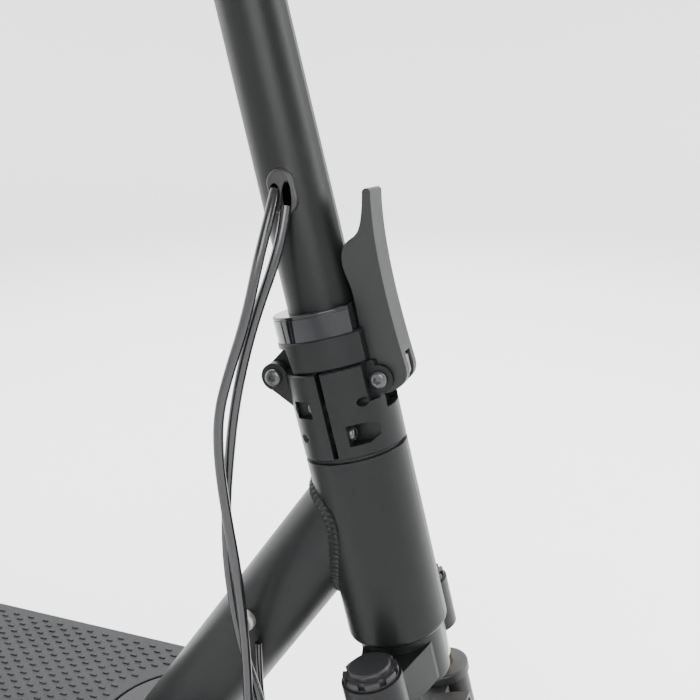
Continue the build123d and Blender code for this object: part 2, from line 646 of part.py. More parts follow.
block_cuts = [
    eye(pivot_v, PIVOT_UP, EYE_RADIUS + 1, -KNUCKLE_HALF - FOLD_CLEAR, KNUCKLE_HALF + FOLD_CLEAR),
    eye(pivot_v, PIVOT_UP, BOLT_RADIUS + FIT, -40, 40),
    eye(LATCH_FORWARD, LATCH_UP, BOLT_RADIUS + FIT, -40, 40),
    eye(LATCH_FORWARD, LATCH_UP, 9.6, -eye_half, eye_half),
    web([(18, FLAT_FROM), (20.5, FLAT_FROM - 3), (23.2, FLAT_FROM - SWING_DROP),
         (60, FLAT_FROM - SWING_DROP), (60, 80), (18, 80)], -eye_half, eye_half),
    web([(FRONT_FLAT, FLAT_FROM), (60, FLAT_FROM), (60, 80), (FRONT_FLAT, 80)], -60, -LUG_OUTER),
    web([(FRONT_FLAT, FLAT_FROM), (60, FLAT_FROM), (60, 80), (FRONT_FLAT, 80)], LUG_OUTER, 60),
    web([(-2, 1.5), (1, 1.5), (1, 80), (-2, 80)], -60, 0),
    web([(-21, 25), (-9.5, 25), (-9.5, 35), (-21, 35)], -60, SCREW_SIDE + HEAD_POCKET),
    web([(8.5, 7), (19, 7), (24, 10), (24, 16), (19, 18.7), (8.5, 18.7)], -60,
        SCREW_SIDE + HEAD_POCKET),
    rod(spot(-30, SCREW_SIDE, UPPER_SCREW), spot(30, SCREW_SIDE, UPPER_SCREW), PINCH_RADIUS + FIT),
    rod(spot(-30, SCREW_SIDE, LOWER_SCREW), spot(30, SCREW_SIDE, LOWER_SCREW), PINCH_RADIUS + FIT),
]
with BuildPart() as hinge_block:
    with BuildSketch(steer_plan.offset(0)):
        Circle(HEAD_RADIUS)
    extrude(amount=BLOCK_HEIGHT)
    chamfer(hinge_block.edges().filter_by(GeomType.CIRCLE), 0.8)
    add(block_adds)
    add(block_cuts, mode=Mode.SUBTRACT)
    with BuildSketch(steer_plan.offset(0)):
        Circle(STEERER_RADIUS + FIT)
    extrude(amount=STEERER_TOP + 2, mode=Mode.SUBTRACT)
label_and_write("hinge_block", hinge_block.part)

pinch_screw = button_bolt(PINCH_RADIUS, 24, 0)
upper_seat = Plane(origin=spot(-9.5, SCREW_SIDE, UPPER_SCREW), z_dir=-steer_forward)
lower_seat = Plane(origin=spot(8.5, SCREW_SIDE, LOWER_SCREW), z_dir=steer_forward)
hinge_bolt_stock = button_bolt(BOLT_RADIUS, 2 * EAR_OUTER + 7, 2 * EAR_OUTER)
latch_bolt_stock = button_bolt(BOLT_RADIUS, 2 * LUG_OUTER + 7, 2 * LUG_OUTER)
with BuildPart() as hinge_bolts:
    with Locations(upper_seat, lower_seat):
        add(pinch_screw)
    with Locations(Plane(origin=spot(pivot_v, -EAR_OUTER, PIVOT_UP), z_dir=(0, -1, 0))):
        add(hinge_bolt_stock)
    with Locations(Plane(origin=spot(LATCH_FORWARD, -LUG_OUTER, LATCH_UP), z_dir=(0, -1, 0))):
        add(latch_bolt_stock)
label_and_write("hinge_bolts", hinge_bolts.part)

# ================================================================ sliding fork legs
LEG_BORE = 12.5
LEG_FOOT = AXLE_S - 16.0
DROPOUT_HALF = 7.0
SEAL_HEIGHT = 6.0


def fork_leg(side):
    """A lower leg: sleeve for the rod, closed foot and a forward eye for the axle."""
    y = side * LEG_SPREAD
    eye_y = sorted((y - DROPOUT_HALF, y + DROPOUT_HALF))
    axle_eye = eye(AXLE_LEAD, AXLE_S, 17, *eye_y)
    axle_web = web([(0, AXLE_S + 30), (AXLE_LEAD + 3, AXLE_S + 16), (AXLE_LEAD, AXLE_S - 16.5),
                    (0, LEG_FOOT)], *eye_y)
    axle_hole = eye(AXLE_LEAD, AXLE_S, AXLE_RADIUS + FIT, -90, 90)
    with BuildPart() as leg:
        with BuildSketch(steer_plan.offset(LEG_FOOT)):
            with Locations((0, y)):
                Circle(LEG_RADIUS)
        extrude(amount=SEAL_TOP - SEAL_HEIGHT - LEG_FOOT)
        fillet(leg.edges().filter_by(GeomType.CIRCLE).sort_by(Axis.Z)[0], 5)
        add([axle_eye, axle_web])
        with BuildSketch(steer_plan.offset(AXLE_S + 34)):
            with Locations((0, y)):
                Circle(LEG_BORE)
        extrude(amount=200, mode=Mode.SUBTRACT)
        add(axle_hole, mode=Mode.SUBTRACT)
    return leg.part


label_and_write("fork_legs", group([fork_leg(1), fork_leg(-1)]))

with BuildPart() as fork_seals:
    for y in (-LEG_SPREAD, LEG_SPREAD):
        with BuildSketch(steer_plan.offset(SEAL_TOP - SEAL_HEIGHT)):
            with Locations((0, y)):
                Circle(LEG_RADIUS + 1.5)
                Circle(ROD_RADIUS + 0.1, mode=Mode.SUBTRACT)
        extrude(amount=SEAL_HEIGHT)
    fillet(fork_seals.edges().filter_by(GeomType.CIRCLE)
           .filter_by(lambda e: e.radius > LEG_RADIUS).sort_by(Axis.Z)[-2:], 1.5)
label_and_write("fork_seals", fork_seals.part)

with BuildPart() as fork_springs:
    for y in (-LEG_SPREAD, LEG_SPREAD):
        with BuildSketch(steer_plan.offset(AXLE_S + 35)):
            with Locations((0, y)):
                Circle(LEG_BORE - 1)
                Circle(LEG_BORE - 4, mode=Mode.SUBTRACT)
        extrude(amount=ROD_FOOT - AXLE_S - 36)
label_and_write("fork_springs", fork_springs.part)

FENDER_RISE = TYRE_RADIUS + 7.0
FENDER_SKIN = 2.0
FENDER_SWEEP = 52.0
FENDER_FLANGE = 31.0
TAB_THICK = 8.0
TAB_DROP = 24.0
BRACE_THICK = 4.5
brace_top = SEAL_TOP - SEAL_HEIGHT - 0.2
tab_y = LEG_SPREAD - LEG_RADIUS + 1 - TAB_THICK / 2
brace_cut = [rod(spot(0, y, LEG_FOOT), spot(0, y, CROWN_FOOT), LEG_RADIUS + FIT)
             for y in (-LEG_SPREAD, LEG_SPREAD)]
with BuildPart() as front_fender:
    with BuildSketch(Plane(origin=spot(AXLE_LEAD, 0, AXLE_S), x_dir=steer_up,
                           z_dir=steer_forward)):
        with BuildLine():
            Polyline((FENDER_RISE, 0), (FENDER_RISE, FENDER_FLANGE - 6),
                     (FENDER_RISE - 11, FENDER_FLANGE - 2), (FENDER_RISE - 11, FENDER_FLANGE),
                     (FENDER_RISE + FENDER_SKIN, FENDER_FLANGE - 4),
                     (FENDER_RISE + FENDER_SKIN, 0))
            mirror(about=Plane.XZ)
        make_face()
    revolve(axis=Axis(spot(AXLE_LEAD, 0, AXLE_S), (0, 1, 0)), revolution_arc=-FENDER_SWEEP)
    with BuildSketch(steer_plan.offset(brace_top - BRACE_THICK)):
        Rectangle(16, 2 * tab_y)
    extrude(amount=BRACE_THICK)
    with BuildSketch(steer_plan.offset(brace_top - TAB_DROP)):
        with Locations((0, -tab_y), (0, tab_y)):
            Rectangle(16, TAB_THICK)
    extrude(amount=TAB_DROP)
    add(brace_cut, mode=Mode.SUBTRACT)
label_and_write("front_fender", front_fender.part)

AXLE_HALF = LEG_SPREAD + DROPOUT_HALF + 11
MOTOR_HALF = 33.0
with BuildPart() as front_axle_bolt:
    Cylinder(AXLE_RADIUS, 2 * AXLE_HALF)
    for z in (-1, 1):
        with BuildSketch(Plane.XY.offset(z * (LEG_SPREAD + DROPOUT_HALF))):
            RegularPolygon(9, 6)
        extrude(amount=z * 8)
        with BuildSketch(Plane.XY.offset(z * (MOTOR_HALF + 0.5))):
            Circle(AXLE_RADIUS + 1.6)
        extrude(amount=z * (LEG_SPREAD - DROPOUT_HALF - MOTOR_HALF - 0.5))
label_and_write("front_axle", Location(front_axle, (90, 0, 0)) * front_axle_bolt.part)

STATOR_RADIUS = 52.0
with BuildPart() as motor_stator:
    Cylinder(STATOR_RADIUS - 14, 26)
    with PolarLocations(STATOR_RADIUS - 10, 27):
        Box(20, 5, 26)
    Cylinder(AXLE_RADIUS, 40, mode=Mode.SUBTRACT)
label_and_write("motor_stator", Location(front_axle, (90, 0, 0)) * motor_stator.part)

with BuildPart() as axle_cover:
    with BuildSketch(steer_side.offset(LEG_SPREAD + DROPOUT_HALF + 0.2)):
        with Locations((AXLE_LEAD, AXLE_S)):
            Circle(16)
        with BuildLine():
            Polyline((AXLE_LEAD + 9, AXLE_S + 13), (2, AXLE_S + 40), (-12, AXLE_S + 36),
                     (-8, AXLE_S + 2), (AXLE_LEAD - 6, AXLE_S - 14), close=True)
        make_face()
    extrude(amount=16)
    fillet(axle_cover.faces().sort_by(Axis.Y)[0].edges(), 2.5)
    with BuildSketch(steer_side.offset(LEG_SPREAD + DROPOUT_HALF + 0.2)):
        with Locations((AXLE_LEAD, AXLE_S)):
            Circle(12.5)
    extrude(amount=12.5, mode=Mode.SUBTRACT)
axle_cover_cut = [rod(spot(0, y, LEG_FOOT - 5), spot(0, y, SEAL_TOP), LEG_RADIUS + 0.1)
                  for y in (-LEG_SPREAD, LEG_SPREAD)]
with BuildPart() as axle_covers:
    add(axle_cover.part)
    mirror(about=Plane.XZ)
    add(axle_cover_cut, mode=Mode.SUBTRACT)
label_and_write("axle_covers", axle_covers.part)

# ================================================================ wheels
TREAD_HALF = 10.0
BEAD_HALF = 19.0


def tyre(centre):
    """Balloon tyre with a narrow flat tread, its beads on the rim."""
    half = TYRE_WIDTH / 2
    shoulder = (half, TYRE_RADIUS - 24)
    with BuildPart() as body:
        with BuildSketch(Plane.XZ):
            with BuildLine():
                Line((0, TYRE_RADIUS), (TREAD_HALF, TYRE_RADIUS))
                Spline((TREAD_HALF, TYRE_RADIUS), shoulder, (BEAD_HALF, RIM_RADIUS + 8),
                       tangents=((1, -0.15), (-0.6, -1)))
                Polyline((BEAD_HALF, RIM_RADIUS + 8), (BEAD_HALF, RIM_RADIUS),
                         (BEAD_HALF - 4, RIM_RADIUS),
                         (BEAD_HALF - 2, RIM_RADIUS + 7))
                Spline((BEAD_HALF - 2, RIM_RADIUS + 7), (half - 5, TYRE_RADIUS - 25),
                       (0, TYRE_RADIUS - 8), tangents=((0.35, 1), (-1, 0)))
                mirror(about=Plane.YZ)
            make_face()
        revolve(axis=Axis.X)
    return Location(centre, (0, 0, 90)) * body.part


def ring(points, centre):
    """A ring turned about a wheel's axle, from (across, radius) points."""
    with BuildPart() as turned:
        with BuildSketch(Plane.XZ):
            with BuildLine():
                Polyline(*points, close=True)
            make_face()
        revolve(axis=Axis.X)
    return Location(centre, (0, 0, 90)) * turned.part


label_and_write("front_tyre", tyre(front_axle))
label_and_write("rear_tyre", tyre(rear_axle))

# The rim's bed, its flanges outside the beads and its well between them.
FLANGE_UP = 6.0
bed = RIM_RADIUS - 0.1
flange = BEAD_HALF + 0.15
rim_outline = [(-flange - 3, bed + FLANGE_UP), (-flange, bed + FLANGE_UP), (-flange, bed),
               (-10, bed), (-8, bed - 8), (8, bed - 8), (10, bed), (flange, bed),
               (flange, bed + FLANGE_UP), (flange + 3, bed + FLANGE_UP), (flange + 3, bed - 4)]

# Hub motor: the rim and the motor's drum are one casting, closed by two covers.
DRUM_INSIDE = STATOR_RADIUS + 2.0
COVER_BOLTS = 6
motor_points = rim_outline + [(MOTOR_HALF - 8, 66), (MOTOR_HALF - 8, DRUM_INSIDE),
                              (8 - MOTOR_HALF, DRUM_INSIDE), (8 - MOTOR_HALF, 66),
                              (-flange - 3, bed - 4)]
label_and_write("motor_drum", ring(motor_points, front_axle))

cover_points = [(MOTOR_HALF - 8, 66), (MOTOR_HALF - 3, 64), (MOTOR_HALF, 34),
                (MOTOR_HALF, AXLE_RADIUS + FIT), (MOTOR_HALF - 11, AXLE_RADIUS + FIT),
                (MOTOR_HALF - 11, 16), (MOTOR_HALF - 5, 32), (MOTOR_HALF - 8, 50)]
with BuildPart() as motor_covers:
    add(ring(cover_points, (0, 0, 0)))
    with Locations(Location((0, MOTOR_HALF - 6, 0), (-90, 0, 0))):
        with PolarLocations(58, COVER_BOLTS):
            CounterBoreHole(1.5, 3, 1.5, depth=8)
    mirror(about=Plane.XZ)
label_and_write("motor_covers", Location(front_axle) * motor_covers.part)

# Rear rim: cast spokes between the bed and the hub.
HUB_RADIUS = 24.0
SPOKES = 5
rear_rim_ring = ring(rim_outline + [(12, bed - 13), (-12, bed - 13), (-flange - 3, bed - 4)],
                     (0, 0, 0))
with BuildPart() as rear_rim:
    add(rear_rim_ring)
    Cylinder(HUB_RADIUS, 2 * HUB_HALF, rotation=(90, 0, 0))
    with BuildSketch(Plane.XZ):
        with PolarLocations(0, SPOKES):
            with Locations((42, 0)):
                Rectangle(46, 18)
    extrude(amount=9, both=True)
    fillet(rear_rim.edges().filter_by(Axis.Y).filter_by(lambda e: abs(e.length - 18) < 0.1), 3)
    Cylinder(AXLE_RADIUS + FIT, 4 * HUB_HALF, rotation=(90, 0, 0), mode=Mode.SUBTRACT)
label_and_write("rear_rim", Location(rear_axle) * rear_rim.part)

with BuildPart() as brake_disc:
    with BuildSketch(Plane.XZ.offset(-DISC_SIDE)):
        Circle(DISC_RADIUS)
        Circle(AXLE_RADIUS + 4, mode=Mode.SUBTRACT)
        with PolarLocations(35, 6):
            SlotOverall(20, 9, mode=Mode.SUBTRACT)
        with PolarLocations(DISC_RADIUS - 5, 24):
            Circle(1.8, mode=Mode.SUBTRACT)
    extrude(amount=DISC_THICK / 2, both=True)
    with BuildSketch(Plane.XZ.offset(-HUB_HALF)):
        Circle(20)
        Circle(AXLE_RADIUS + 4, mode=Mode.SUBTRACT)
    extrude(amount=-(DISC_SIDE - HUB_HALF - DISC_THICK / 2))
label_and_write("brake_disc", Location(rear_axle) * brake_disc.part)

# ================================================================ folding stem
COLLAR_FOOT = BLOCK_HEIGHT + 1.0
COLLAR_TOP = COLLAR_FOOT + COLLAR_HEIGHT
RING_TOP = COLLAR_TOP + RING_HEIGHT
STEM_S = COLLAR_FOOT + 3.0
STEM_END = STEM_S + STEM_LENGTH
COLLAR_FLAT = 24.4
POCKET = 22.0
RING_FLAT = 21.9
GROMMET_S = 148.2
GROMMET_V = 1.0
GROMMET_LENGTH = 24.5
GROMMET_WIDTH = 15.0

with BuildPart() as stem_tube:
    with BuildSketch(steer_side):
        with BuildLine():
            Polyline((0, STEM_S), (STEM_FOOT, STEM_S), (STEM_FOOT, RING_TOP),
                     (STEM_TOP, RING_TOP + TAPER_LENGTH), (STEM_TOP, STEM_END), (0, STEM_END),
                     close=True)
        make_face()
        with BuildLine():
            Polyline((0, STEM_S), (STEM_FOOT - STEM_WALL, STEM_S), (STEM_FOOT - STEM_WALL, RING_TOP),
                     (STEM_TOP - STEM_WALL, RING_TOP + TAPER_LENGTH),
                     (STEM_TOP - STEM_WALL, STEM_END), (0, STEM_END), close=True)
        make_face(mode=Mode.SUBTRACT)
    revolve(axis=Axis(hinge_point, steer_up))
    with BuildSketch(steer_side.offset(8)):
        with Locations((GROMMET_V, GROMMET_S)):
            SlotOverall(GROMMET_LENGTH - 4, GROMMET_WIDTH - 4, rotation=90)
    extrude(amount=20, mode=Mode.SUBTRACT)
label_and_write("stem_tube", stem_tube.part)

collar_cuts = [
    web([(COLLAR_FLAT, 40), (60, 40), (60, 90), (COLLAR_FLAT, 90)], -60, 60),
    web([(POCKET, 40), (60, 40), (60, 90), (POCKET, 90)], -eye_half, eye_half),
    web([(-15.7, COLLAR_FOOT), (-17.8, COLLAR_TOP - 3.5), (-60, COLLAR_TOP - 3.5), (-60, 40),
         (-15.7, 40)], -60, 60),
]
knuckle = [eye(pivot_v, PIVOT_UP, EYE_RADIUS, -KNUCKLE_HALF, KNUCKLE_HALF),
           web([(pivot_v - 4, PIVOT_UP + 6.9), (-19, COLLAR_TOP), (-12, COLLAR_TOP), (-12, COLLAR_FOOT),
                (-26, COLLAR_FOOT), (pivot_v + 5, PIVOT_UP - 6.2)], -KNUCKLE_HALF, KNUCKLE_HALF)]
knuckle_bore = eye(pivot_v, PIVOT_UP, BOLT_RADIUS + FIT, -30, 30)
with BuildPart() as hinge_collar:
    with BuildSketch(steer_plan.offset(COLLAR_FOOT)):
        Circle(HEAD_RADIUS)
    extrude(amount=COLLAR_HEIGHT)
    chamfer(hinge_collar.edges().filter_by(GeomType.CIRCLE), 0.8)
    add(collar_cuts, mode=Mode.SUBTRACT)
    add(knuckle)
    add(knuckle_bore, mode=Mode.SUBTRACT)
    with BuildSketch(steer_plan.offset(STEM_S)):
        Circle(STEM_FOOT + FIT)
    extrude(amount=COLLAR_HEIGHT, mode=Mode.SUBTRACT)
label_and_write("hinge_collar", hinge_collar.part)

ring_flat = web([(RING_FLAT, 40), (60, 40), (60, 120), (RING_FLAT, 120)], -60, 60)
with BuildPart() as hinge_ring:
    with BuildSketch(steer_plan.offset(COLLAR_TOP)):
        Circle(RING_RADIUS)
    extrude(amount=RING_HEIGHT)
    fillet(hinge_ring.edges().filter_by(GeomType.CIRCLE).sort_by(Axis.Z)[-1], 0.8)
    with BuildSketch(steer_plan.offset(RING_TOP - 2)):
        Circle(RING_RADIUS + 1)
        Circle(RING_RADIUS - 0.7, mode=Mode.SUBTRACT)
    extrude(amount=0.7, mode=Mode.SUBTRACT)
    add(ring_flat, mode=Mode.SUBTRACT)
    with BuildSketch(steer_plan.offset(COLLAR_TOP)):
        Circle(STEM_FOOT + FIT)
    extrude(amount=RING_HEIGHT, mode=Mode.SUBTRACT)
label_and_write("hinge_ring", hinge_ring.part)

grommet_cut = rod(spot(0, 0, STEM_S), spot(0, 0, STEM_END), STEM_TOP + 1.0)


# ---------------------------------------------------------------- cable routes
def cable(points, radius):
    """A round cable on straight runs joined by tangent arcs, as large as the runs allow."""
    runs = [(b - a).length for a, b in zip(points, points[1:])]
    bends = []
    for before, here, after, run, next_run in zip(points, points[1:], points[2:], runs, runs[1:]):
        turn = (here - before).get_angle(after - here)
        bends.append(0.45 * min(run, next_run) / tan(radians(turn) / 2))
    with BuildPart() as tube:
        with BuildLine() as route:
            FilletPolyline(*points, radius=bends)
        with BuildSketch(Plane(origin=points[0], z_dir=points[1] - points[0])):
            Circle(radius)
        sweep()
    length = sum(e.length for e in route.line.edges())
    expected = pi * radius ** 2 * length
    print(f"cable {length:.0f} mm, tightest bend {min(bends):.0f} mm,",
          f"volume {tube.part.volume / expected:.3f} of its section times its length")
    return tube.part


def world(points):
    return [Vector(*p) for p in points]


# Both run from the stem's grommet, down the right of the head tube, into the deck's front.
brake_route = world([(312, -21, 575), (312, -29, 562), (309, -37, 541), (303, -42, 509),
                     (293, -45, 479), (286, -46, 455), (285, -46, 429), (288, -46, 399),
                     (293, -45, 361), (296, -45, 329), (298, -46, 298), (299, -48, 265),
                     (295, -52, 232), (291, -56, 208), (285, -59, 188), (276, -60, 175),
                     (268.6, -60, 170)])
loom_route = world([(318.5, -22.5, 567), (318, -25.5, 555), (314, -30, 536), (305, -34, 510),
                    (297, -36, 482), (291, -37, 454), (287, -37, 427), (283, -36, 397),
                    (282, -36, 363), (286, -37, 328), (293, -38, 297), (303, -40, 272),
                    (309, -42, 245), (306, -45, 216), (297, -46, 192), (284, -46, 177),
                    (269.5, -46, 170)])
# The motor's lead leaves the down tube, passes inside the loom and goes down the right leg.
lead_route = world([(297, -28.5, 303), (297, -29, 284), (299, -31, 262), (306, -33, 238),
                    (321, -40, 215), (341, -50, 196), (363, -60, 178), (384, -66, 161),
                    (397, -69, 150), (406, -70, 145.5)])
# The rear brake's cable leaves the deck's rear wall and arches over to the caliper.
rear_route = world([(-299, 34, 157), (-314, 34, 159), (-336, 34, 165.5), (-358, 34, 172.5),
                    (-377, 34, 173), (-391.8, 34, 166.9)])
label_and_write("brake_cable", cable(brake_route, CABLE_RADIUS))
label_and_write("wiring_loom", cable(loom_route, CABLE_RADIUS))
label_and_write("frame_cables", group([cable(lead_route, LEAD_RADIUS),
                                       cable(rear_route, CABLE_RADIUS)]))

grommet_holes = [rod(route[0] * 2 - route[1], route[1], CABLE_RADIUS + 0.25)
                 for route in (brake_route, loom_route)]
with BuildPart() as cable_grommet:
    with BuildSketch(steer_side.offset(STEM_TOP - 4)):
        with Locations((GROMMET_V, GROMMET_S)):
            SlotOverall(GROMMET_LENGTH, GROMMET_WIDTH, rotation=90)
    extrude(amount=7.5)
    fillet(cable_grommet.faces().sort_by(Axis.Y)[0].edges(), 1.8)
    add(grommet_cut, mode=Mode.SUBTRACT)
    add(grommet_holes, mode=Mode.SUBTRACT)
label_and_write("cable_grommet", cable_grommet.part)

FERRULE_ALONG = 110.5
FERRULE_BELOW = 5.5
FERRULE_RADIUS = 6.0
tube_normal = Vector(tube_run.Z, 0, -tube_run.X)
ferrule_at = tube_top + tube_run * FERRULE_ALONG + tube_normal * FERRULE_BELOW
with BuildPart() as lead_ferrule:
    with BuildSketch(Plane.XZ.offset(DOWN_TUBE_TOP - 3)):
        with Locations((ferrule_at.X, ferrule_at.Z)):
            Circle(FERRULE_RADIUS)
    extrude(amount=8.2)
    fillet(lead_ferrule.faces().sort_by(Axis.Y)[0].edges(), 2.5)
    add(tube_outside, mode=Mode.SUBTRACT)
label_and_write("cable_exits", group([deck_gland.part, lead_ferrule.part]))

# ================================================================ bar and controls
BAR_S = STEM_END + 17.0
CLAMP_HALF = 30.0
CLAMP_RADIUS = 23.0
CLAMP_GRIP = 38.0           # length that holds the stem
CLAMP_SPLIT = 2.0


def across(radius, low, high):
    """A cylinder along the handlebar's axis, from y = low to y = high."""
    return eye(0, BAR_S, radius, low, high)


bar_hole = across(BAR_MIDDLE + FIT, -60, 60)
stem_hole = rod(spot(0, 0, STEM_S), spot(0, 0, STEM_END + 0.1), STEM_TOP + FIT)
cap_side = web([(CLAMP_SPLIT, 600), (90, 600), (90, 900), (CLAMP_SPLIT, 900)], -60, 60)
clamp_side = web([(CLAMP_SPLIT - 1.5, BAR_S - 40), (-90, BAR_S - 40), (-90, 900),
                  (CLAMP_SPLIT - 1.5, 900)], -60, 60)
clamp_drum = across(CLAMP_RADIUS, -CLAMP_HALF, CLAMP_HALF)
CLAMP_SCREW = 2.5
SCREW_SEAT = 16.0
screw_places = [(y, ds) for y in (-22, 22) for ds in (-19.2, 19.2)]
clamp_holes = [rod(spot(-12, y, BAR_S + ds), spot(SCREW_SEAT, y, BAR_S + ds), CLAMP_SCREW + FIT)
               for y, ds in screw_places]
clamp_holes += [rod(spot(SCREW_SEAT, y, BAR_S + ds), spot(40, y, BAR_S + ds), 5)
                for y, ds in screw_places]
with BuildPart() as bar_clamp:
    add(clamp_drum)
    add(clamp_side, mode=Mode.INTERSECT)
    with BuildSketch(steer_plan.offset(STEM_END - CLAMP_GRIP)):
        Circle(CLAMP_RADIUS)
    extrude(amount=CLAMP_GRIP + 2)
    add(bar_hole, mode=Mode.SUBTRACT)
    add(stem_hole, mode=Mode.SUBTRACT)
    add(clamp_holes, mode=Mode.SUBTRACT)
label_and_write("bar_clamp", bar_clamp.part)

with BuildPart() as clamp_cap:
    add(clamp_drum)
    add(cap_side, mode=Mode.INTERSECT)
    with BuildSketch(steer_plan.offset(STEM_END - CLAMP_GRIP)):
        Circle(CLAMP_RADIUS + 0.2)
    extrude(amount=CLAMP_GRIP + 2.2, mode=Mode.SUBTRACT)
    add(bar_hole, mode=Mode.SUBTRACT)
    add(clamp_holes, mode=Mode.SUBTRACT)
label_and_write("clamp_cap", clamp_cap.part)

clamp_screw = button_bolt(CLAMP_SCREW, 20, 0)
with BuildPart() as clamp_screws:
    for y, ds in screw_places:
        with Locations(Plane(origin=spot(SCREW_SEAT, y, BAR_S + ds), z_dir=steer_forward)):
            add(clamp_screw)
label_and_write("clamp_screws", clamp_screws.part)

BAR_WALL = 2.0
BAR_TAPER = (40.0, 80.0)
with BuildPart() as handlebar:
    with BuildSketch(Plane(origin=spot(0, 0, BAR_S), x_dir=(0, 1, 0), z_dir=steer_up)):
        with BuildLine():
            Polyline((0, BAR_MIDDLE), (BAR_TAPER[0], BAR_MIDDLE), (BAR_TAPER[1], BAR_END),
                     (BAR_LENGTH / 2, BAR_END), (BAR_LENGTH / 2, BAR_END - BAR_WALL),
                     (BAR_TAPER[1], BAR_END - BAR_WALL), (BAR_TAPER[0], BAR_MIDDLE - BAR_WALL),
                     (0, BAR_MIDDLE - BAR_WALL))
            mirror(about=Plane.YZ)
        make_face()
    revolve(axis=Axis(spot(0, 0, BAR_S), (0, 1, 0)))
label_and_write("handlebar", handlebar.part)


def grip(side):
    """Rubber sleeve closed at the bar's end, with a guard flange at its inner end."""
    inner = side * (BAR_LENGTH / 2 - GRIP_LENGTH)
    outer = side * (BAR_LENGTH / 2 + 3)
    sleeve = across(GRIP_RADIUS, *sorted((inner, outer)))
    guard = across(GRIP_RADIUS + 4, *sorted((inner, inner + side * 5)))
    hole = across(BAR_END + FIT, *sorted((inner - side, side * (BAR_LENGTH / 2 + FIT))))
    with BuildPart() as rubber:
        add(sleeve)
        add(guard)
        fillet(rubber.edges().filter_by(GeomType.CIRCLE), 1.5)
        add(hole, mode=Mode.SUBTRACT)
    return rubber.part


label_and_write("grips", group([grip(1), grip(-1)]))

# Brake lever: a clamp on the bar with a fork for the blade, which swings toward the grip.
LEVER_Y = 140.0
LEVER_V = 34.0
LEVER_HALF = 5.0
bracket_ring = across(16.5, LEVER_Y - 9, LEVER_Y + 9)
bracket_hole = across(BAR_END + FIT, LEVER_Y - 30, LEVER_Y + 30)
with BuildPart() as brake_bracket:
    add(bracket_ring)
    for s in (BAR_S + LEVER_HALF + 0.4, BAR_S - LEVER_HALF - 3.4):
        with BuildSketch(steer_plan.offset(s)):
            with Locations((LEVER_V, LEVER_Y)):
                Circle(7)
            with Locations((22, LEVER_Y)):
                Rectangle(24, 14)
        extrude(amount=3)
    with BuildSketch(steer_plan.offset(BAR_S - LEVER_HALF - 3)):
        with Locations((LEVER_V, LEVER_Y)):
            Circle(BOLT_RADIUS)
    extrude(amount=2 * LEVER_HALF + 6)
    with BuildSketch(steer_plan.offset(BAR_S - 8)):
        with Locations((18, LEVER_Y - 6)):
            Rectangle(8, 10)
    extrude(amount=16)
    add(bracket_hole, mode=Mode.SUBTRACT)
label_and_write("brake_bracket", brake_bracket.part)

with BuildPart() as brake_lever:
    with BuildSketch(steer_plan.offset(BAR_S - LEVER_HALF)):
        with BuildLine():
            Spline((LEVER_V - 6, LEVER_Y + 4), (37, 172), (42, 215), (45, 262))
            ThreePointArc((45, 262), (50, 268), (55, 262))
            Spline((55, 262), (52, 215), (48, 172), (LEVER_V + 7, LEVER_Y - 2))
            Line((LEVER_V + 7, LEVER_Y - 2), (LEVER_V - 6, LEVER_Y + 4))
        make_face()
        with Locations((LEVER_V, LEVER_Y)):
            Circle(6.5)
    extrude(amount=2 * LEVER_HALF)
    fillet(brake_lever.faces().filter_by(Axis(hinge_point, steer_up)).edges()
           .filter_by(GeomType.BSPLINE), 2)
    with BuildSketch(steer_plan.offset(BAR_S - LEVER_HALF)):
        with Locations((LEVER_V, LEVER_Y)):
            Circle(BOLT_RADIUS + FIT)
    extrude(amount=2 * LEVER_HALF, mode=Mode.SUBTRACT)
label_and_write("brake_lever", brake_lever.part)

# Throttle: a fixed body on the bar and a thumb paddle that turns round the bar beside it.
THROTTLE_Y = -150.0
throttle_drum = across(18, THROTTLE_Y - 9, THROTTLE_Y + 9)
throttle_hole = across(BAR_END + FIT, THROTTLE_Y - 40, THROTTLE_Y + 40)
throttle_boss = web([(10, BAR_S - 12), (26, BAR_S - 10), (26, BAR_S + 6), (10, BAR_S + 12)],
                    THROTTLE_Y - 6, THROTTLE_Y + 9)
with BuildPart() as throttle_body:
    add(throttle_drum)
    add(throttle_boss)
    add(throttle_hole, mode=Mode.SUBTRACT)
label_and_write("throttle_body", throttle_body.part)

paddle_drum = across(17, THROTTLE_Y + 9.3, THROTTLE_Y + 19)
paddle_tab = web([(-12, BAR_S + 10), (-36, BAR_S + 20), (-40, BAR_S + 16), (-38, BAR_S + 11),
                  (-14, BAR_S - 3)], THROTTLE_Y + 9.3, THROTTLE_Y + 27)
with BuildPart() as throttle_paddle:
    add(paddle_drum)
    add(paddle_tab)
    fillet(throttle_paddle.edges().filter_by(Axis.Y).filter_by(lambda e: e.length > 17), 1.5)
    add(throttle_hole, mode=Mode.SUBTRACT)
label_and_write("throttle_paddle", throttle_paddle.part)

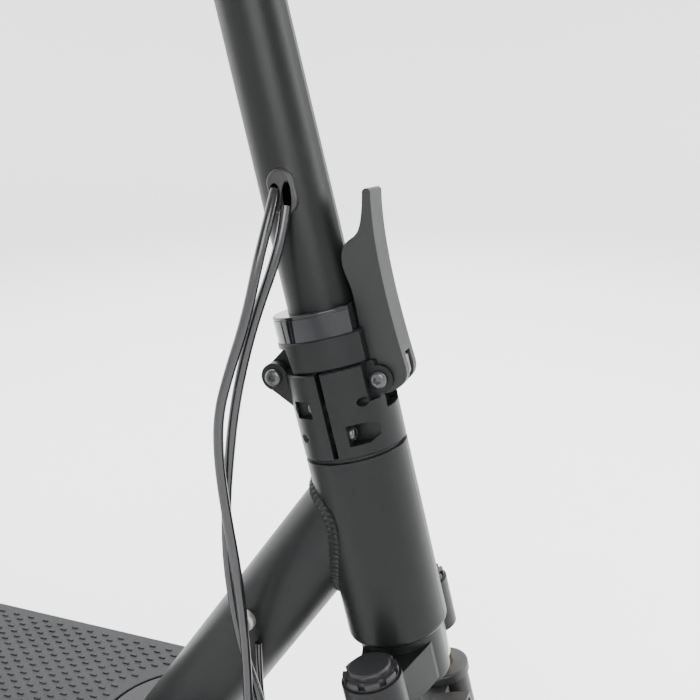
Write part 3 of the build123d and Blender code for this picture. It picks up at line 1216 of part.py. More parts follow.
# Display: a pod on a neck above the clamp, with a glass face and a push button.
POD_FOOT = BAR_S + CLAMP_RADIUS + 5.0
POD_HEIGHT = 15.0
POD_LENGTH = 58.0
POD_WIDTH = 88.0
POD_BACK = -8.0
BUTTON_V = -29.0
BUTTON_RADIUS = 5.0
BUTTON_TRAVEL = 1.2
POCKET_DEEP = 5.0
with BuildPart() as display_pod:
    with BuildSketch(steer_plan.offset(POD_FOOT)):
        with Locations((POD_BACK, 0)):
            RectangleRounded(POD_LENGTH, POD_WIDTH, 12)
    extrude(amount=POD_HEIGHT)
    fillet(display_pod.faces().filter_by(Axis(hinge_point, steer_up)).edges(), 3)
    with BuildSketch(steer_plan.offset(BAR_S)):
        with Locations((-11, 0)):
            Rectangle(14, 22)
    extrude(amount=POD_FOOT - BAR_S + 1)
    add(clamp_drum, mode=Mode.SUBTRACT)
    with BuildSketch(steer_plan.offset(POD_FOOT + POD_HEIGHT - 0.6)):
        with Locations((4, 0)):
            RectangleRounded(26, 66, 4)
    extrude(amount=4, mode=Mode.SUBTRACT)
    with BuildSketch(steer_plan.offset(POD_FOOT + POD_HEIGHT - POCKET_DEEP)):
        with Locations((BUTTON_V + 4, 0)):
            Circle(BUTTON_RADIUS + FIT)
    extrude(amount=POCKET_DEEP, mode=Mode.SUBTRACT)
label_and_write("display_pod", display_pod.part)

with BuildPart() as power_button:
    with BuildSketch(steer_plan.offset(POD_FOOT + POD_HEIGHT - POCKET_DEEP + BUTTON_TRAVEL + 0.3)):
        with Locations((BUTTON_V + 4, 0)):
            Circle(BUTTON_RADIUS)
    extrude(amount=POCKET_DEEP)
    fillet(power_button.faces().sort_by(Axis.Z)[-1].edges(), 0.6)
label_and_write("power_button", power_button.part)

# Headlamp: a drum on a saddle, bolted to the front of the stem.
LAMP_S = STEM_END - 86.0
LAMP_RADIUS = 20.0
lamp_plane = Plane(origin=spot(STEM_TOP + 0.1, 0, LAMP_S), x_dir=(0, 1, 0), z_dir=steer_forward)
stem_cut = rod(spot(0, 0, LAMP_S - 60), spot(0, 0, LAMP_S + 60), STEM_TOP + FIT)
with BuildPart() as headlamp:
    with BuildSketch(lamp_plane.offset(-6)):
        RectangleRounded(22, 30, 5)
    extrude(amount=10)
    with BuildSketch(lamp_plane.offset(3)):
        Circle(LAMP_RADIUS - 4)
    with BuildSketch(lamp_plane.offset(30)):
        Circle(LAMP_RADIUS)
    loft()
    add(stem_cut, mode=Mode.SUBTRACT)
    with BuildSketch(lamp_plane.offset(27)):
        Circle(LAMP_RADIUS - 3)
    extrude(amount=10, mode=Mode.SUBTRACT)
label_and_write("headlamp", headlamp.part)

# Control cables run from the two hand controls into the stem's front.
PORT_S = STEM_END - 50.0


def control_route(side, start_y):
    """Points from a hand control, forward and down, to the stem."""
    places = [(23, start_y, BAR_S - 2), (30, start_y - 18, BAR_S - 6),
              (43, start_y - 40, BAR_S - 14), (56, start_y - 66, BAR_S - 28),
              (62, start_y - 90, BAR_S - 44), (57, start_y - 108, BAR_S - 57),
              (42, 9, PORT_S + 1), (21.5, 5, PORT_S - 2)]
    return [spot(v, side * y, s) for v, y, s in places]


label_and_write("control_wires", group([cable(control_route(side, LEVER_Y - 12), LEAD_RADIUS)
                                        for side in (1, -1)]))

# ================================================================ latch lever
CHANNEL_HALF = 4.3
TONGUE_HALF = 3.9
with BuildPart() as latch_lever:
    with BuildSketch(steer_side):
        with BuildLine():
            Spline((45, 138), (42.6, 122), (41.2, 98), (41.6, 70), (43.3, 42))
            Spline((43.3, 42), (41.4, 35), (33.4, 30.4), (27.6, LATCH_UP - 9), (23, 33),
                   (22.7, 42), tangents=((0, -1), (0.1, 1)))
            Spline((22.7, 42), (22.6, 60), (22.5, 76), (22.4, 91), (20.8, 100), (20.9, 107),
                   (25.3, 114.6), (31.9, 118), (36, 124), (40.4, 138), tangents=((0, 1), (0.25, 1)))
            ThreePointArc((40.4, 138), (42.9, 140.2), (45, 138))
        make_face()
    extrude(amount=LEVER_WIDTH / 2, both=True)
    with BuildSketch(steer_side):
        with BuildLine():
            Polyline((18, 20), (48, 20), (48, 50), (37, 50), (37, 92), (18, 92), close=True)
        make_face()
    extrude(amount=CHANNEL_HALF, both=True, mode=Mode.SUBTRACT)
    with BuildSketch(steer_side):
        with Locations((LATCH_FORWARD, LATCH_UP)):
            Circle(BOLT_RADIUS + FIT)
    extrude(amount=30, both=True, mode=Mode.SUBTRACT)
label_and_write("latch_lever", latch_lever.part)

with BuildPart() as latch_tongue:
    with BuildSketch(steer_side):
        with Locations((LATCH_FORWARD, LATCH_UP)):
            Circle(8.2)
        with BuildLine():
            Polyline((LATCH_FORWARD + 1, LATCH_UP - 8), (38, 32), (41.5, 38), (41.5, 47), (36, 49.6),
                     (36, 82), (27, 82), (22.9, 74), (22.9, 56), (LATCH_FORWARD - 5, LATCH_UP + 8),
                     close=True)
        make_face()
        with Locations((LATCH_FORWARD, LATCH_UP)):
            Circle(BOLT_RADIUS + FIT, mode=Mode.SUBTRACT)
    extrude(amount=TONGUE_HALF, both=True)
label_and_write("latch_tongue", latch_tongue.part)
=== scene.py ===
"""Finishes and fine pieces for the folding kick scooter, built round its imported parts. Metres."""
import bmesh
import bpy
import json
from math import cos, pi, radians, sin
from mathutils import Matrix, Vector


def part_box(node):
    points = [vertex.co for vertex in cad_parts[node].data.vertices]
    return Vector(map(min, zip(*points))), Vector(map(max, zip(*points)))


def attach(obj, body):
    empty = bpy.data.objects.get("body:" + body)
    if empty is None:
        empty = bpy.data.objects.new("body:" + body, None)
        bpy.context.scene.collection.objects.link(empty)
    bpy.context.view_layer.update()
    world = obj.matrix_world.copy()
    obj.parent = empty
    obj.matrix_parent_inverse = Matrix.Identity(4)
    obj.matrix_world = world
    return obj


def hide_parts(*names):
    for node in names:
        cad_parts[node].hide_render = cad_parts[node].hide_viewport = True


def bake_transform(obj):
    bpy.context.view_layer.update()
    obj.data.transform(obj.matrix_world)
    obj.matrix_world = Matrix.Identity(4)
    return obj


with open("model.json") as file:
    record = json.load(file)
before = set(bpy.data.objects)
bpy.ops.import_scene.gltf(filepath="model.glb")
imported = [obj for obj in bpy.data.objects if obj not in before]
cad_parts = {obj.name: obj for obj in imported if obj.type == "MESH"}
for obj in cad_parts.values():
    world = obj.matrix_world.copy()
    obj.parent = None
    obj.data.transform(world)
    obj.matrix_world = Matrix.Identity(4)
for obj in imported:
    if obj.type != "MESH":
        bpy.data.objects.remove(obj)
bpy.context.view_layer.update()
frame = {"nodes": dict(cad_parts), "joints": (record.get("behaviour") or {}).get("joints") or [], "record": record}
nodes = frame["nodes"]
joints = {j["name"]: j for j in frame["joints"]}

# ---------------------------------------------------------------- steering frame
hinge = Vector(joints["steering"]["pos_m"])
up = Vector(joints["steering"]["axis"]).normalized()
forward = Vector((up.z, 0, -up.x))
left = Vector((0, 1, 0))


def spot(v, y, s):
    """A place ahead of, beside and up the steering axis, given in millimetres."""
    return hinge + (forward * v + left * y + up * s) / 1000


# ---------------------------------------------------------------- camera, floor and light
VIEW_AZIMUTH = 19.64
VIEW_ELEVATION = 15.1
VIEW_LENS = 42.1
VIEW_FROM = (0.4965, -0.4208, 0.6060)
camera_data = bpy.data.cameras.new("camera")
camera_data.sensor_width = 36
camera_data.lens = VIEW_LENS
camera_data.clip_start = 0.01
camera = bpy.data.objects.new("camera", camera_data)
camera.location = VIEW_FROM
camera.rotation_euler = (radians(90 - VIEW_ELEVATION), 0, radians(VIEW_AZIMUTH))
bpy.context.scene.collection.objects.link(camera)
bpy.context.scene.camera = camera

world = bpy.data.worlds.new("studio")
bpy.context.scene.world = world
world.use_nodes = True
DIM_SIDE = 0.22
BRIGHT_SIDE = 2.3
sky = world.node_tree.nodes
backdrop = sky["Background"]
backdrop.inputs["Color"].default_value = (0.97, 0.98, 1.0, 1)
toward = sky.new("ShaderNodeTexCoord")
facing = sky.new("ShaderNodeVectorMath")
facing.operation = "DOT_PRODUCT"
facing.inputs[1].default_value = (-sin(radians(VIEW_AZIMUTH)), cos(radians(VIEW_AZIMUTH)), 0.25)
spread = sky.new("ShaderNodeMapRange")
spread.interpolation_type = "SMOOTHSTEP"
for socket, value in (("From Min", -0.75), ("From Max", 0.75), ("To Min", DIM_SIDE),
                      ("To Max", BRIGHT_SIDE)):
    spread.inputs[socket].default_value = value
for source, target in ((toward.outputs["Generated"], facing.inputs[0]),
                       (facing.outputs["Value"], spread.inputs["Value"]),
                       (spread.outputs["Result"], backdrop.inputs["Strength"])):
    world.node_tree.links.new(source, target)


def soft_light(name, place, aim, size, power):
    """A large flat lamp that faces a point."""
    data = bpy.data.lights.new(name, "AREA")
    data.shape = "RECTANGLE"
    data.size, data.size_y = size
    data.energy = power
    lamp = bpy.data.objects.new(name, data)
    lamp.location = place
    lamp.rotation_euler = (Vector(aim) - Vector(place)).to_track_quat("-Z", "Y").to_euler()
    bpy.context.scene.collection.objects.link(lamp)


soft_light("key", (1.1, -2.15, 1.75), (0.25, 0, 0.85), (1.7, 1.5), 95)
soft_light("right", (1.9, 0.7, 1.5), (0.35, 0, 0.45), (0.9, 1.8), 48)
soft_light("left", (-1.3, 0.2, 1.1), (0.3, 0, 0.5), (0.4, 1.6), 10)
soft_light("top", (-0.3, 2.0, 3.0), (-0.2, 1.9, 0.0), (3.4, 2.6), 230)


# ---------------------------------------------------------------- shader writing
class Value:
    """A node's output that takes part in sums as a number does."""

    def __init__(self, finish, socket):
        self.finish = finish
        self.socket = socket

    def math(self, operation, other=0.0, swap=False):
        pair = (other, self) if swap else (self, other)
        return self.finish.node("ShaderNodeMath", {"operation": operation}, dict(enumerate(pair)))

    def __add__(self, other):
        return self.math("ADD", other)

    __radd__ = __add__

    def __sub__(self, other):
        return self.math("SUBTRACT", other)

    def __rsub__(self, other):
        return self.math("SUBTRACT", other, swap=True)

    def __mul__(self, other):
        return self.math("MULTIPLY", other)

    __rmul__ = __mul__


class Finish:
    """A material on the Principled shader, patterned in object space."""

    def __init__(self, name, **constants):
        self.material = bpy.data.materials.new(name)
        self.material.use_nodes = True
        self.tree = self.material.node_tree
        self.shader = self.tree.nodes["Principled BSDF"]
        self.place = self.node("ShaderNodeTexCoord", output="Object")
        for socket, value in constants.items():
            self.shader.inputs[socket.replace("_", " ")].default_value = value

    def node(self, kind, settings=None, inputs=None, output=0):
        """Any node: its settings first, then the values or links of its sockets."""
        made = self.tree.nodes.new(kind)
        for key, value in (settings or {}).items():
            if key == "stops":
                for stop, (at, tone) in zip(made.color_ramp.elements, value):
                    stop.position = at
                    stop.color = (tone, tone, tone, 1)
            else:
                setattr(made, key, value)
        for key, value in (inputs or {}).items():
            if isinstance(value, Value):
                self.tree.links.new(value.socket, made.inputs[key])
            else:
                made.inputs[key].default_value = value
        return Value(self, made.outputs[output])

    def noise(self, scale, detail=2.0, roughness=0.5, stretch=(1, 1, 1)):
        place = self.node("ShaderNodeMapping", None, {"Vector": self.place, "Scale": stretch})
        return self.node("ShaderNodeTexNoise", None,
                         {"Vector": place, "Scale": scale, "Detail": detail,
                          "Roughness": roughness})

    def ramp(self, value, low, high):
        return self.node("ShaderNodeValToRGB", {"stops": [(low, 0.0), (high, 1.0)]}, {0: value})

    def blend(self, factor, first, second):
        return self.node("ShaderNodeMix", {"data_type": "RGBA"},
                         {"Factor": factor, 6: (*first, 1), 7: (*second, 1)}, output=2)

    def feed(self, socket, value):
        self.tree.links.new(value.socket, self.shader.inputs[socket])

    def relief(self, height, depth, strength=1.0, rounding=0.0):
        """Bump from a height, on edges rounded by a small radius."""
        inputs = {"Height": height, "Distance": depth, "Strength": strength}
        if rounding:
            inputs["Normal"] = self.node("ShaderNodeBevel", {"samples": 4}, {"Radius": rounding})
        self.feed("Normal", self.node("ShaderNodeBump", None, inputs))


def coat(name, low, high, roughness, spread, grain, depth, rounding, **constants):
    """Paint or moulding: slow colour drift, a fine skin and lightly rubbed patches."""
    finish = Finish(name, **constants)
    drift = finish.noise(9, 3)
    skin = finish.noise(grain, 2, 0.6)
    rub = finish.ramp(finish.noise(34, 5, 0.65), 0.56, 0.74)
    finish.feed("Base Color", finish.blend(drift * 0.75 + rub * 0.25, low, high))
    finish.feed("Roughness", roughness + (skin - 0.5) * spread + rub * 0.06)
    finish.relief(skin, depth, 1.0, rounding)
    return finish.material


def metal(name, low, high, roughness, grain, stretch, rounding, **constants):
    """Bare metal: long fine marks, with tone and roughness that follow them."""
    finish = Finish(name, Metallic=1.0, **constants)
    marks = finish.noise(grain, 4, 0.7, stretch)
    smear = finish.noise(22, 3)
    finish.feed("Base Color", finish.blend(marks * 0.6 + smear * 0.4, low, high))
    finish.feed("Roughness", roughness + (marks - 0.5) * 0.16 + (smear - 0.5) * 0.1)
    finish.relief(marks, 0.00002, 0.6, rounding)
    return finish.material


def rubber(name, low, high, roughness, grain, depth):
    """Rubber: a dusty bloom over a dark body, with a pebbled skin."""
    finish = Finish(name, Specular_IOR_Level=0.26)
    bloom = finish.ramp(finish.noise(26, 5, 0.7), 0.4, 0.75)
    pebble = finish.node("ShaderNodeTexVoronoi", None, {"Vector": finish.place, "Scale": grain})
    finish.feed("Base Color", finish.blend(bloom, low, high))
    finish.feed("Roughness", roughness + bloom * 0.12 - pebble * 0.08)
    finish.relief(pebble, depth, 0.7, 0.0004)
    return finish.material


def jacket(name):
    """Extruded cable sheath: glossy, with faint long drawing marks and dust."""
    finish = Finish(name, Specular_IOR_Level=0.5)
    drawn = finish.noise(420, 2, 0.5, (1, 1, 0.06))
    dust = finish.ramp(finish.noise(160, 4, 0.7), 0.55, 0.8)
    finish.feed("Base Color", finish.blend(dust, (0.007, 0.007, 0.008), (0.02, 0.02, 0.021)))
    finish.feed("Roughness", 0.16 + dust * 0.16 + drawn * 0.08)
    finish.relief(drawn, 0.00006, 0.7)
    return finish.material


finishes = {
    "frame_paint": coat("frame_paint", (0.0045, 0.0048, 0.005), (0.0085, 0.0088, 0.0088), 0.36, 0.2,
                        2300, 0.00005, 0.0006, Specular_IOR_Level=0.15),
    "lever_black": coat("lever_black", (0.0085, 0.009, 0.009), (0.0145, 0.015, 0.0148), 0.48, 0.16,
                        3000, 0.00005, 0.0009, Specular_IOR_Level=0.24),
    "moulded_black": coat("moulded_black", (0.008, 0.008, 0.0085), (0.014, 0.014, 0.015), 0.44,
                          0.2, 1500, 0.00005, 0.0005, Specular_IOR_Level=0.3),
    "ring_gloss": coat("ring_gloss", (0.003, 0.0035, 0.0045), (0.005, 0.006, 0.0075), 0.09, 0.03,
                       900, 0.000004, 0.0005, Specular_IOR_Level=0.25,
                       Coat_Weight=0.2, Coat_Roughness=0.04),
    "bolt_black": coat("bolt_black", (0.012, 0.012, 0.013), (0.020, 0.020, 0.021), 0.24, 0.1,
                       2200, 0.00001, 0.0004, Specular_IOR_Level=0.6),
    "cast_alloy": coat("cast_alloy", (0.30, 0.29, 0.27), (0.42, 0.41, 0.385), 0.42, 0.2, 1700,
                       0.00004, 0.0005, Metallic=0.75),
    "bearing_steel": metal("bearing_steel", (0.42, 0.42, 0.43), (0.62, 0.62, 0.63), 0.26, 600,
                           (1, 1, 0.1), 0.0003),
    "disc_steel": metal("disc_steel", (0.40, 0.40, 0.41), (0.62, 0.62, 0.62), 0.28, 500,
                        (1, 0.1, 1), 0.0002),
    "rod_chrome": metal("rod_chrome", (0.34, 0.30, 0.20), (0.52, 0.47, 0.33), 0.1, 400,
                        (1, 1, 0.05), 0.0002),
    "stator_copper": metal("stator_copper", (0.35, 0.15, 0.07), (0.60, 0.29, 0.15), 0.4, 700,
                           (1, 0.1, 1), 0.0002),
    "seal_rubber": rubber("seal_rubber", (0.012, 0.012, 0.012), (0.026, 0.026, 0.026), 0.42,
                          1500, 0.00003),
    "grip_rubber": rubber("grip_rubber", (0.013, 0.013, 0.014), (0.028, 0.028, 0.03), 0.6, 1800,
                          0.00006),
    "deck_rubber": rubber("deck_rubber", (0.006, 0.0063, 0.0068), (0.017, 0.0175, 0.019), 0.5,
                          2100, 0.00007),
    "tyre": rubber("tyre", (0.014, 0.014, 0.014), (0.036, 0.035, 0.033), 0.66, 1100, 0.0001),
    "cable_jacket": jacket("cable_jacket"),
    "red_lens": coat("red_lens", (0.25, 0.008, 0.008), (0.42, 0.015, 0.012), 0.12, 0.05, 700,
                     0.00003, 0.0004, Coat_Weight=0.5),
}
for part in frame["record"]["subparts"]:
    mesh = nodes[part["node"]].data
    mesh.materials.clear()
    mesh.materials.append(finishes[part["material_slot"]])

GLOW_FROM = 2.5
GLOW_FULL = 8.5
floor_finish = Finish("floor_paint", Roughness=0.75, Emission_Strength=1.0)
floor_tone = floor_finish.noise(3, 2)
floor_finish.feed("Base Color", floor_finish.blend(floor_tone, (0.93, 0.93, 0.93),
                                                   (0.95, 0.95, 0.95)))
floor_reach = floor_finish.node("ShaderNodeVectorMath", {"operation": "LENGTH"},
                                {0: floor_finish.place}, output=1)
floor_finish.feed("Emission Color", floor_finish.blend(
    floor_finish.node("ShaderNodeMapRange", {"interpolation_type": "SMOOTHSTEP"},
                      {"Value": floor_reach, "From Min": GLOW_FROM, "From Max": GLOW_FULL}),
    (0.0, 0.0, 0.0), (1.15, 1.15, 1.15)))
SWEEP = [(3.0, 0.0), (5.0, 0.0), (6.0, 0.06), (7.0, 0.3), (8.0, 0.85), (8.8, 1.7), (9.2, 2.6),
         (9.4, 3.4)]
STEPS = 96
floor_points = [(0, 0, 0)] + [(radius * cos(2 * pi * k / STEPS), radius * sin(2 * pi * k / STEPS), z)
                              for radius, z in SWEEP for k in range(STEPS)]
floor_faces = [(0, 1 + k, 1 + (k + 1) % STEPS) for k in range(STEPS)]
floor_faces += [(1 + r * STEPS + k, 1 + (r + 1) * STEPS + k, 1 + (r + 1) * STEPS + (k + 1) % STEPS,
                 1 + r * STEPS + (k + 1) % STEPS)
                for r in range(len(SWEEP) - 1) for k in range(STEPS)]
floor_mesh = bpy.data.meshes.new("floor")
floor_mesh.from_pydata(floor_points, [], floor_faces)
floor_mesh.polygons.foreach_set("use_smooth", [True] * len(floor_faces))
floor_mesh.materials.append(floor_finish.material)
floor = bpy.data.objects.new("floor", floor_mesh)
bpy.context.scene.collection.objects.link(floor)


# ---------------------------------------------------------------- mesh making
CREASE = 42                     # degrees between faces, past which an edge shows


def piece(name, vertices, faces, slot):
    """A closed mesh in place, with a finish of the record's."""
    mesh = bpy.data.meshes.new(name)
    mesh.from_pydata([tuple(v) for v in vertices], [], faces)
    shape = bmesh.new()
    shape.from_mesh(mesh)
    bmesh.ops.remove_doubles(shape, verts=shape.verts, dist=1e-7)
    bmesh.ops.recalc_face_normals(shape, faces=shape.faces)
    shape.to_mesh(mesh)
    shape.free()
    mesh.polygons.foreach_set("use_smooth", [True] * len(mesh.polygons))
    mesh.set_sharp_from_angle(angle=radians(CREASE))
    mesh.materials.append(finishes[slot])
    made = bpy.data.objects.new(name, mesh)
    bpy.context.scene.collection.objects.link(made)
    return made


def settle(made):
    """Turns a piece's modifiers into its plain mesh."""
    bpy.context.view_layer.update()
    seen = made.evaluated_get(bpy.context.evaluated_depsgraph_get())
    plain = bpy.data.meshes.new_from_object(seen)
    made.modifiers.clear()
    made.data = plain
    return made


def lathe(name, profile, centre, axis, slot, steps=96):
    """A closed outline of (along, radius) points turned about an axis, in millimetres."""
    axis = Vector(axis).normalized()
    side = axis.orthogonal().normalized()
    other = axis.cross(side)
    points = []
    for turn in range(steps):
        angle = 2 * pi * turn / steps
        out = side * cos(angle) + other * sin(angle)
        points += [centre + (axis * along + out * radius) / 1000 for along, radius in profile]
    count = len(profile)
    faces = []
    for turn in range(steps):
        here, there = turn * count, (turn + 1) % steps * count
        for k in range(count):
            n = (k + 1) % count
            faces.append((here + k, here + n, there + n, there + k))
    return piece(name, points, faces, slot)


def smooth_line(points, steps=6):
    """Points on a smooth open curve through the given ones."""
    path = []
    for k in range(len(points) - 1):
        before = points[max(k - 1, 0)]
        after = points[min(k + 2, len(points) - 1)]
        for step in range(steps):
            t = step / steps
            path.append(tuple(
                0.5 * (2 * b + (c - a) * t + (2 * a - 5 * b + 4 * c - d) * t * t
                       + (3 * b - a - 3 * c + d) * t ** 3)
                for a, b, c, d in zip(before, points[k], points[k + 1], after)))
    return path + [tuple(points[-1])]


# ---------------------------------------------------------------- repeated pieces
def repeat_tree():
    """Sets one small piece on each point, turned by the point's own angles."""
    tree = bpy.data.node_groups.new("repeat_piece", "GeometryNodeTree")
    face = tree.interface
    face.new_socket("Places", in_out="INPUT", socket_type="NodeSocketGeometry")
    face.new_socket("Piece", in_out="INPUT", socket_type="NodeSocketObject")
    face.new_socket("Size", in_out="INPUT", socket_type="NodeSocketFloat").default_value = 1.0
    face.new_socket("Finish", in_out="INPUT", socket_type="NodeSocketMaterial")
    face.new_socket("Pieces", in_out="OUTPUT", socket_type="NodeSocketGeometry")
    given = tree.nodes.new("NodeGroupInput")
    made = tree.nodes.new("NodeGroupOutput")
    source = tree.nodes.new("GeometryNodeObjectInfo")
    turn = tree.nodes.new("GeometryNodeInputNamedAttribute")
    turn.data_type = "FLOAT_VECTOR"
    turn.inputs["Name"].default_value = "turn"
    angles = tree.nodes.new("FunctionNodeEulerToRotation")
    place = tree.nodes.new("GeometryNodeInstanceOnPoints")
    real = tree.nodes.new("GeometryNodeRealizeInstances")
    paint = tree.nodes.new("GeometryNodeSetMaterial")
    join = tree.links.new
    join(given.outputs["Places"], place.inputs["Points"])
    join(given.outputs["Piece"], source.inputs["Object"])
    join(source.outputs["Geometry"], place.inputs["Instance"])
    join(turn.outputs["Attribute"], angles.inputs[0])
    join(angles.outputs[0], place.inputs["Rotation"])
    join(given.outputs["Size"], place.inputs["Scale"])
    join(place.outputs["Instances"], real.inputs["Geometry"])
    join(real.outputs["Geometry"], paint.inputs["Geometry"])
    join(given.outputs["Finish"], paint.inputs["Material"])
    join(paint.outputs["Geometry"], made.inputs["Pieces"])
    return tree


repeater = repeat_tree()


def repeat(name, pattern, places, slot, size=1.0):
    """One mesh of a pattern piece set at every (point, along, out) place."""
    mesh = bpy.data.meshes.new(name)
    mesh.from_pydata([tuple(p) for p, along, out in places], [], [])
    angles = []
    for point, along, out in places:
        x = Vector(along).normalized()
        z = (Vector(out) - x * Vector(out).dot(x)).normalized()
        y = z.cross(x)
        angles += list(Matrix((x, y, z)).transposed().to_euler())
    mesh.attributes.new("turn", "FLOAT_VECTOR", "POINT").data.foreach_set("vector", angles)
    made = bpy.data.objects.new(name, mesh)
    bpy.context.scene.collection.objects.link(made)
    modifier = made.modifiers.new("repeat", "NODES")
    modifier.node_group = repeater
    inputs = {i.name: i.identifier for i in repeater.interface.items_tree
              if i.in_out == "INPUT"}
    modifier[inputs["Piece"]] = pattern
    modifier[inputs["Size"]] = size
    modifier[inputs["Finish"]] = finishes[slot]
    settle(made)
    made.data.polygons.foreach_set("use_smooth", [True] * len(made.data.polygons))
    bpy.data.objects.remove(pattern)
    return made


def pad(name, length, width, height, slot, sink=0.0):
    """A low pad with rounded ends and a crowned top, from a few dozen faces, in millimetres."""
    rings = [(1.0, -sink), (1.0, height * 0.55), (0.86, height * 0.92), (0.55, height)]
    steps = 12
    points = []
    for share, z in rings:
        for k in range(steps):
            angle = 2 * pi * k / steps
            c, s = cos(angle), sin(angle)
            straight = (length - width) / 2
            points.append(((straight * (1 if c > 0 else -1) + c * width / 2 * share) / 1000,
                           s * width / 2 * share / 1000, z / 1000))
    faces = []
    for r in range(len(rings) - 1):
        for k in range(steps):
            n = (k + 1) % steps
            faces.append((r * steps + k, r * steps + n, (r + 1) * steps + n, (r + 1) * steps + k))
    faces.append(tuple(range(steps))[::-1])
    faces.append(tuple(range((len(rings) - 1) * steps, len(rings) * steps)))
    return piece(name, points, faces, slot)


# ---------------------------------------------------------------- tyres with tread
WHEEL = 127.0
TREAD_COUNT = 54
SIDE = [(12.5, 125.2), (19.5, 122.5), (25.0, 114.5), (27.0, 103.5), (25.0, 92.5), (20.4, 84.6),
        (19.0, 81.0)]
for end, body in (("front", "front_wheel"), ("rear", "rear_wheel")):
    centre = Vector(joints[f"{end}_wheel_spin"]["pos_m"])
    flank = smooth_line(SIDE, 5)
    rib = [(across + (0.5 if 92.0 < radius < 95.5 or 108.0 < radius < 111.5 else 0.0), radius)
           for across, radius in flank]
    outline = [(0.0, 125.6)] + rib + [(19.0, 76.0), (15.0, 76.0), (17.0, 83.0), (21.5, 97.0),
                                      (20.5, 109.0), (12.0, 117.5)]
    outline += [(-a, r) for a, r in outline[:0:-1]]
    skin = lathe(f"{end}_tyre_carcass", outline, centre, (0, 1, 0), "tyre", 128)
    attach(skin, body)
    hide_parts(f"{end}_tyre")
    blocks = []
    for k in range(TREAD_COUNT):
        for across, lead, tilt in ((0.0, 0.0, 0.0), (-9.6, 0.5, 18.0), (9.6, 0.5, -18.0),
                                   (-17.8, 0.0, 30.0), (17.8, 0.0, -30.0)):
            angle = 2 * pi * (k + lead) / TREAD_COUNT
            radius = WHEEL - 1.9 if abs(across) < 15 else WHEEL - 5.0
            lean = radians(0 if abs(across) < 15 else 34) * (1 if across > 0 else -1)
            out = Vector((cos(angle), 0, sin(angle)))
            run = Vector((-sin(angle), 0, cos(angle)))
            face = out * cos(lean) + left * sin(lean)
            cross = left * cos(lean) - out * sin(lean)
            along = run * cos(radians(tilt)) + cross * sin(radians(tilt))
            blocks.append((centre + (out * radius + left * across) / 1000, along, face))
    tread = repeat(f"{end}_tyre_tread", pad("tread_block", 11.6, 7.2, 1.8, "tyre", 2.0), blocks,
                   "tyre")
    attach(tread, body)

# ---------------------------------------------------------------- deck studs
low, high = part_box("deck_mat")
cover_low, cover_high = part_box("neck_cover")
ROW = 0.0052
STUD = 0.0152
plain_radius = (cover_high.y - cover_low.y) / 2 + 0.011
cover_x = cover_low.x + (cover_high.y - cover_low.y) / 2
NOSE = 0.062
EDGE = 0.006
studs = []
rows = int((high.y - low.y) / 2 / ROW) - 1
for row in range(-rows, rows + 1):
    y = row * ROW
    x = high.x - EDGE - (row % 2) * STUD / 2
    while x > low.x + 0.007:
        beside_cover = x > cover_x and abs(y) < plain_radius
        beside_cover = beside_cover or (x - cover_x) ** 2 + y * y < plain_radius ** 2
        corner_x = x - (high.x - NOSE)
        corner_y = abs(y) - (high.y - NOSE)
        off = corner_x > 0 and corner_y > 0 and corner_x ** 2 + corner_y ** 2 > (NOSE - EDGE) ** 2
        tail_x = (low.x + 0.02) - x
        tail_y = abs(y) - (high.y - 0.02)
        off = off or (tail_x > 0 and tail_y > 0 and tail_x ** 2 + tail_y ** 2 > 0.014 ** 2)
        if not beside_cover and not off:
            studs.append((Vector((x, y, high.z)), (1, 0, 0), (0, 0, 1)))
        x -= STUD
mat_studs = repeat("mat_studs", pad("stud", 5.8, 2.3, 1.0, "deck_rubber", 0.3), studs,
                   "deck_rubber")
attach(mat_studs, "frame")

# ---------------------------------------------------------------- weld beads
RIPPLE_STEP = 0.0034
SEAM_STEPS = 1440
HEAD_RADIUS = 30.0
TUBE_RADIUS = 26.0
TUBE_SLOPE = 0.0079
TUBE_DROP = 26.8
TUBE_ANGLE = 55.3
tube_top = spot(0, 0, -TUBE_DROP)
tube_run = Vector((-cos(radians(TUBE_ANGLE)), 0, -sin(radians(TUBE_ANGLE))))
tube_out = Vector((-tube_run.z, 0, tube_run.x))


def seam_point(angle):
    """Where the down tube's side meets the head tube, and the weld's outward direction."""
    near, far = 0.0, 120.0
    out = tube_out * cos(angle) + left * sin(angle)
    for step in range(40):
        run = (near + far) / 2
        point = tube_top + (tube_run * run + out * (TUBE_RADIUS + TUBE_SLOPE * run)) / 1000
        offset = point - hinge
        radial = offset - up * offset.dot(up)
        if radial.length * 1000 < HEAD_RADIUS:
            near = run
        else:
            far = run
    return point, (out + radial.normalized()).normalized()


ripples = []
last = None
for k in range(SEAM_STEPS):
    point, out = seam_point(2 * pi * k / SEAM_STEPS)
    if last is None or (point - last).length > RIPPLE_STEP:
        if last is not None:
            ripples.append((last, point - last, out))
        last = point
weld = repeat("neck_weld", pad("ripple", 7.6, 6.2, 1.9, "frame_paint", 1.2),
              [(p, out.cross(run), out * 0.93 + run.normalized() * 0.36) for p, run, out in ripples],
              "frame_paint")
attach(weld, "frame")


# ---------------------------------------------------------------- cables
def spline_points(points):
    """Points along a smooth cable line laid by its control points, in metres."""
    data = bpy.data.curves.new("line", "CURVE")
    data.dimensions = "3D"
    data.resolution_u = 10
    spline = data.splines.new("NURBS")
    spline.points.add(len(points) - 1)
    for knot, place in zip(spline.points, points):
        knot.co = (*place, 1)
    spline.order_u = 3
    spline.use_endpoint_u = True
    holder = bpy.data.objects.new("line", data)
    bpy.context.scene.collection.objects.link(holder)
    bpy.context.view_layer.update()
    seen = holder.evaluated_get(bpy.context.evaluated_depsgraph_get())
    mesh = bpy.data.meshes.new_from_object(seen)
    line = [v.co.copy() for v in mesh.vertices]
    bpy.data.objects.remove(holder)
    return line


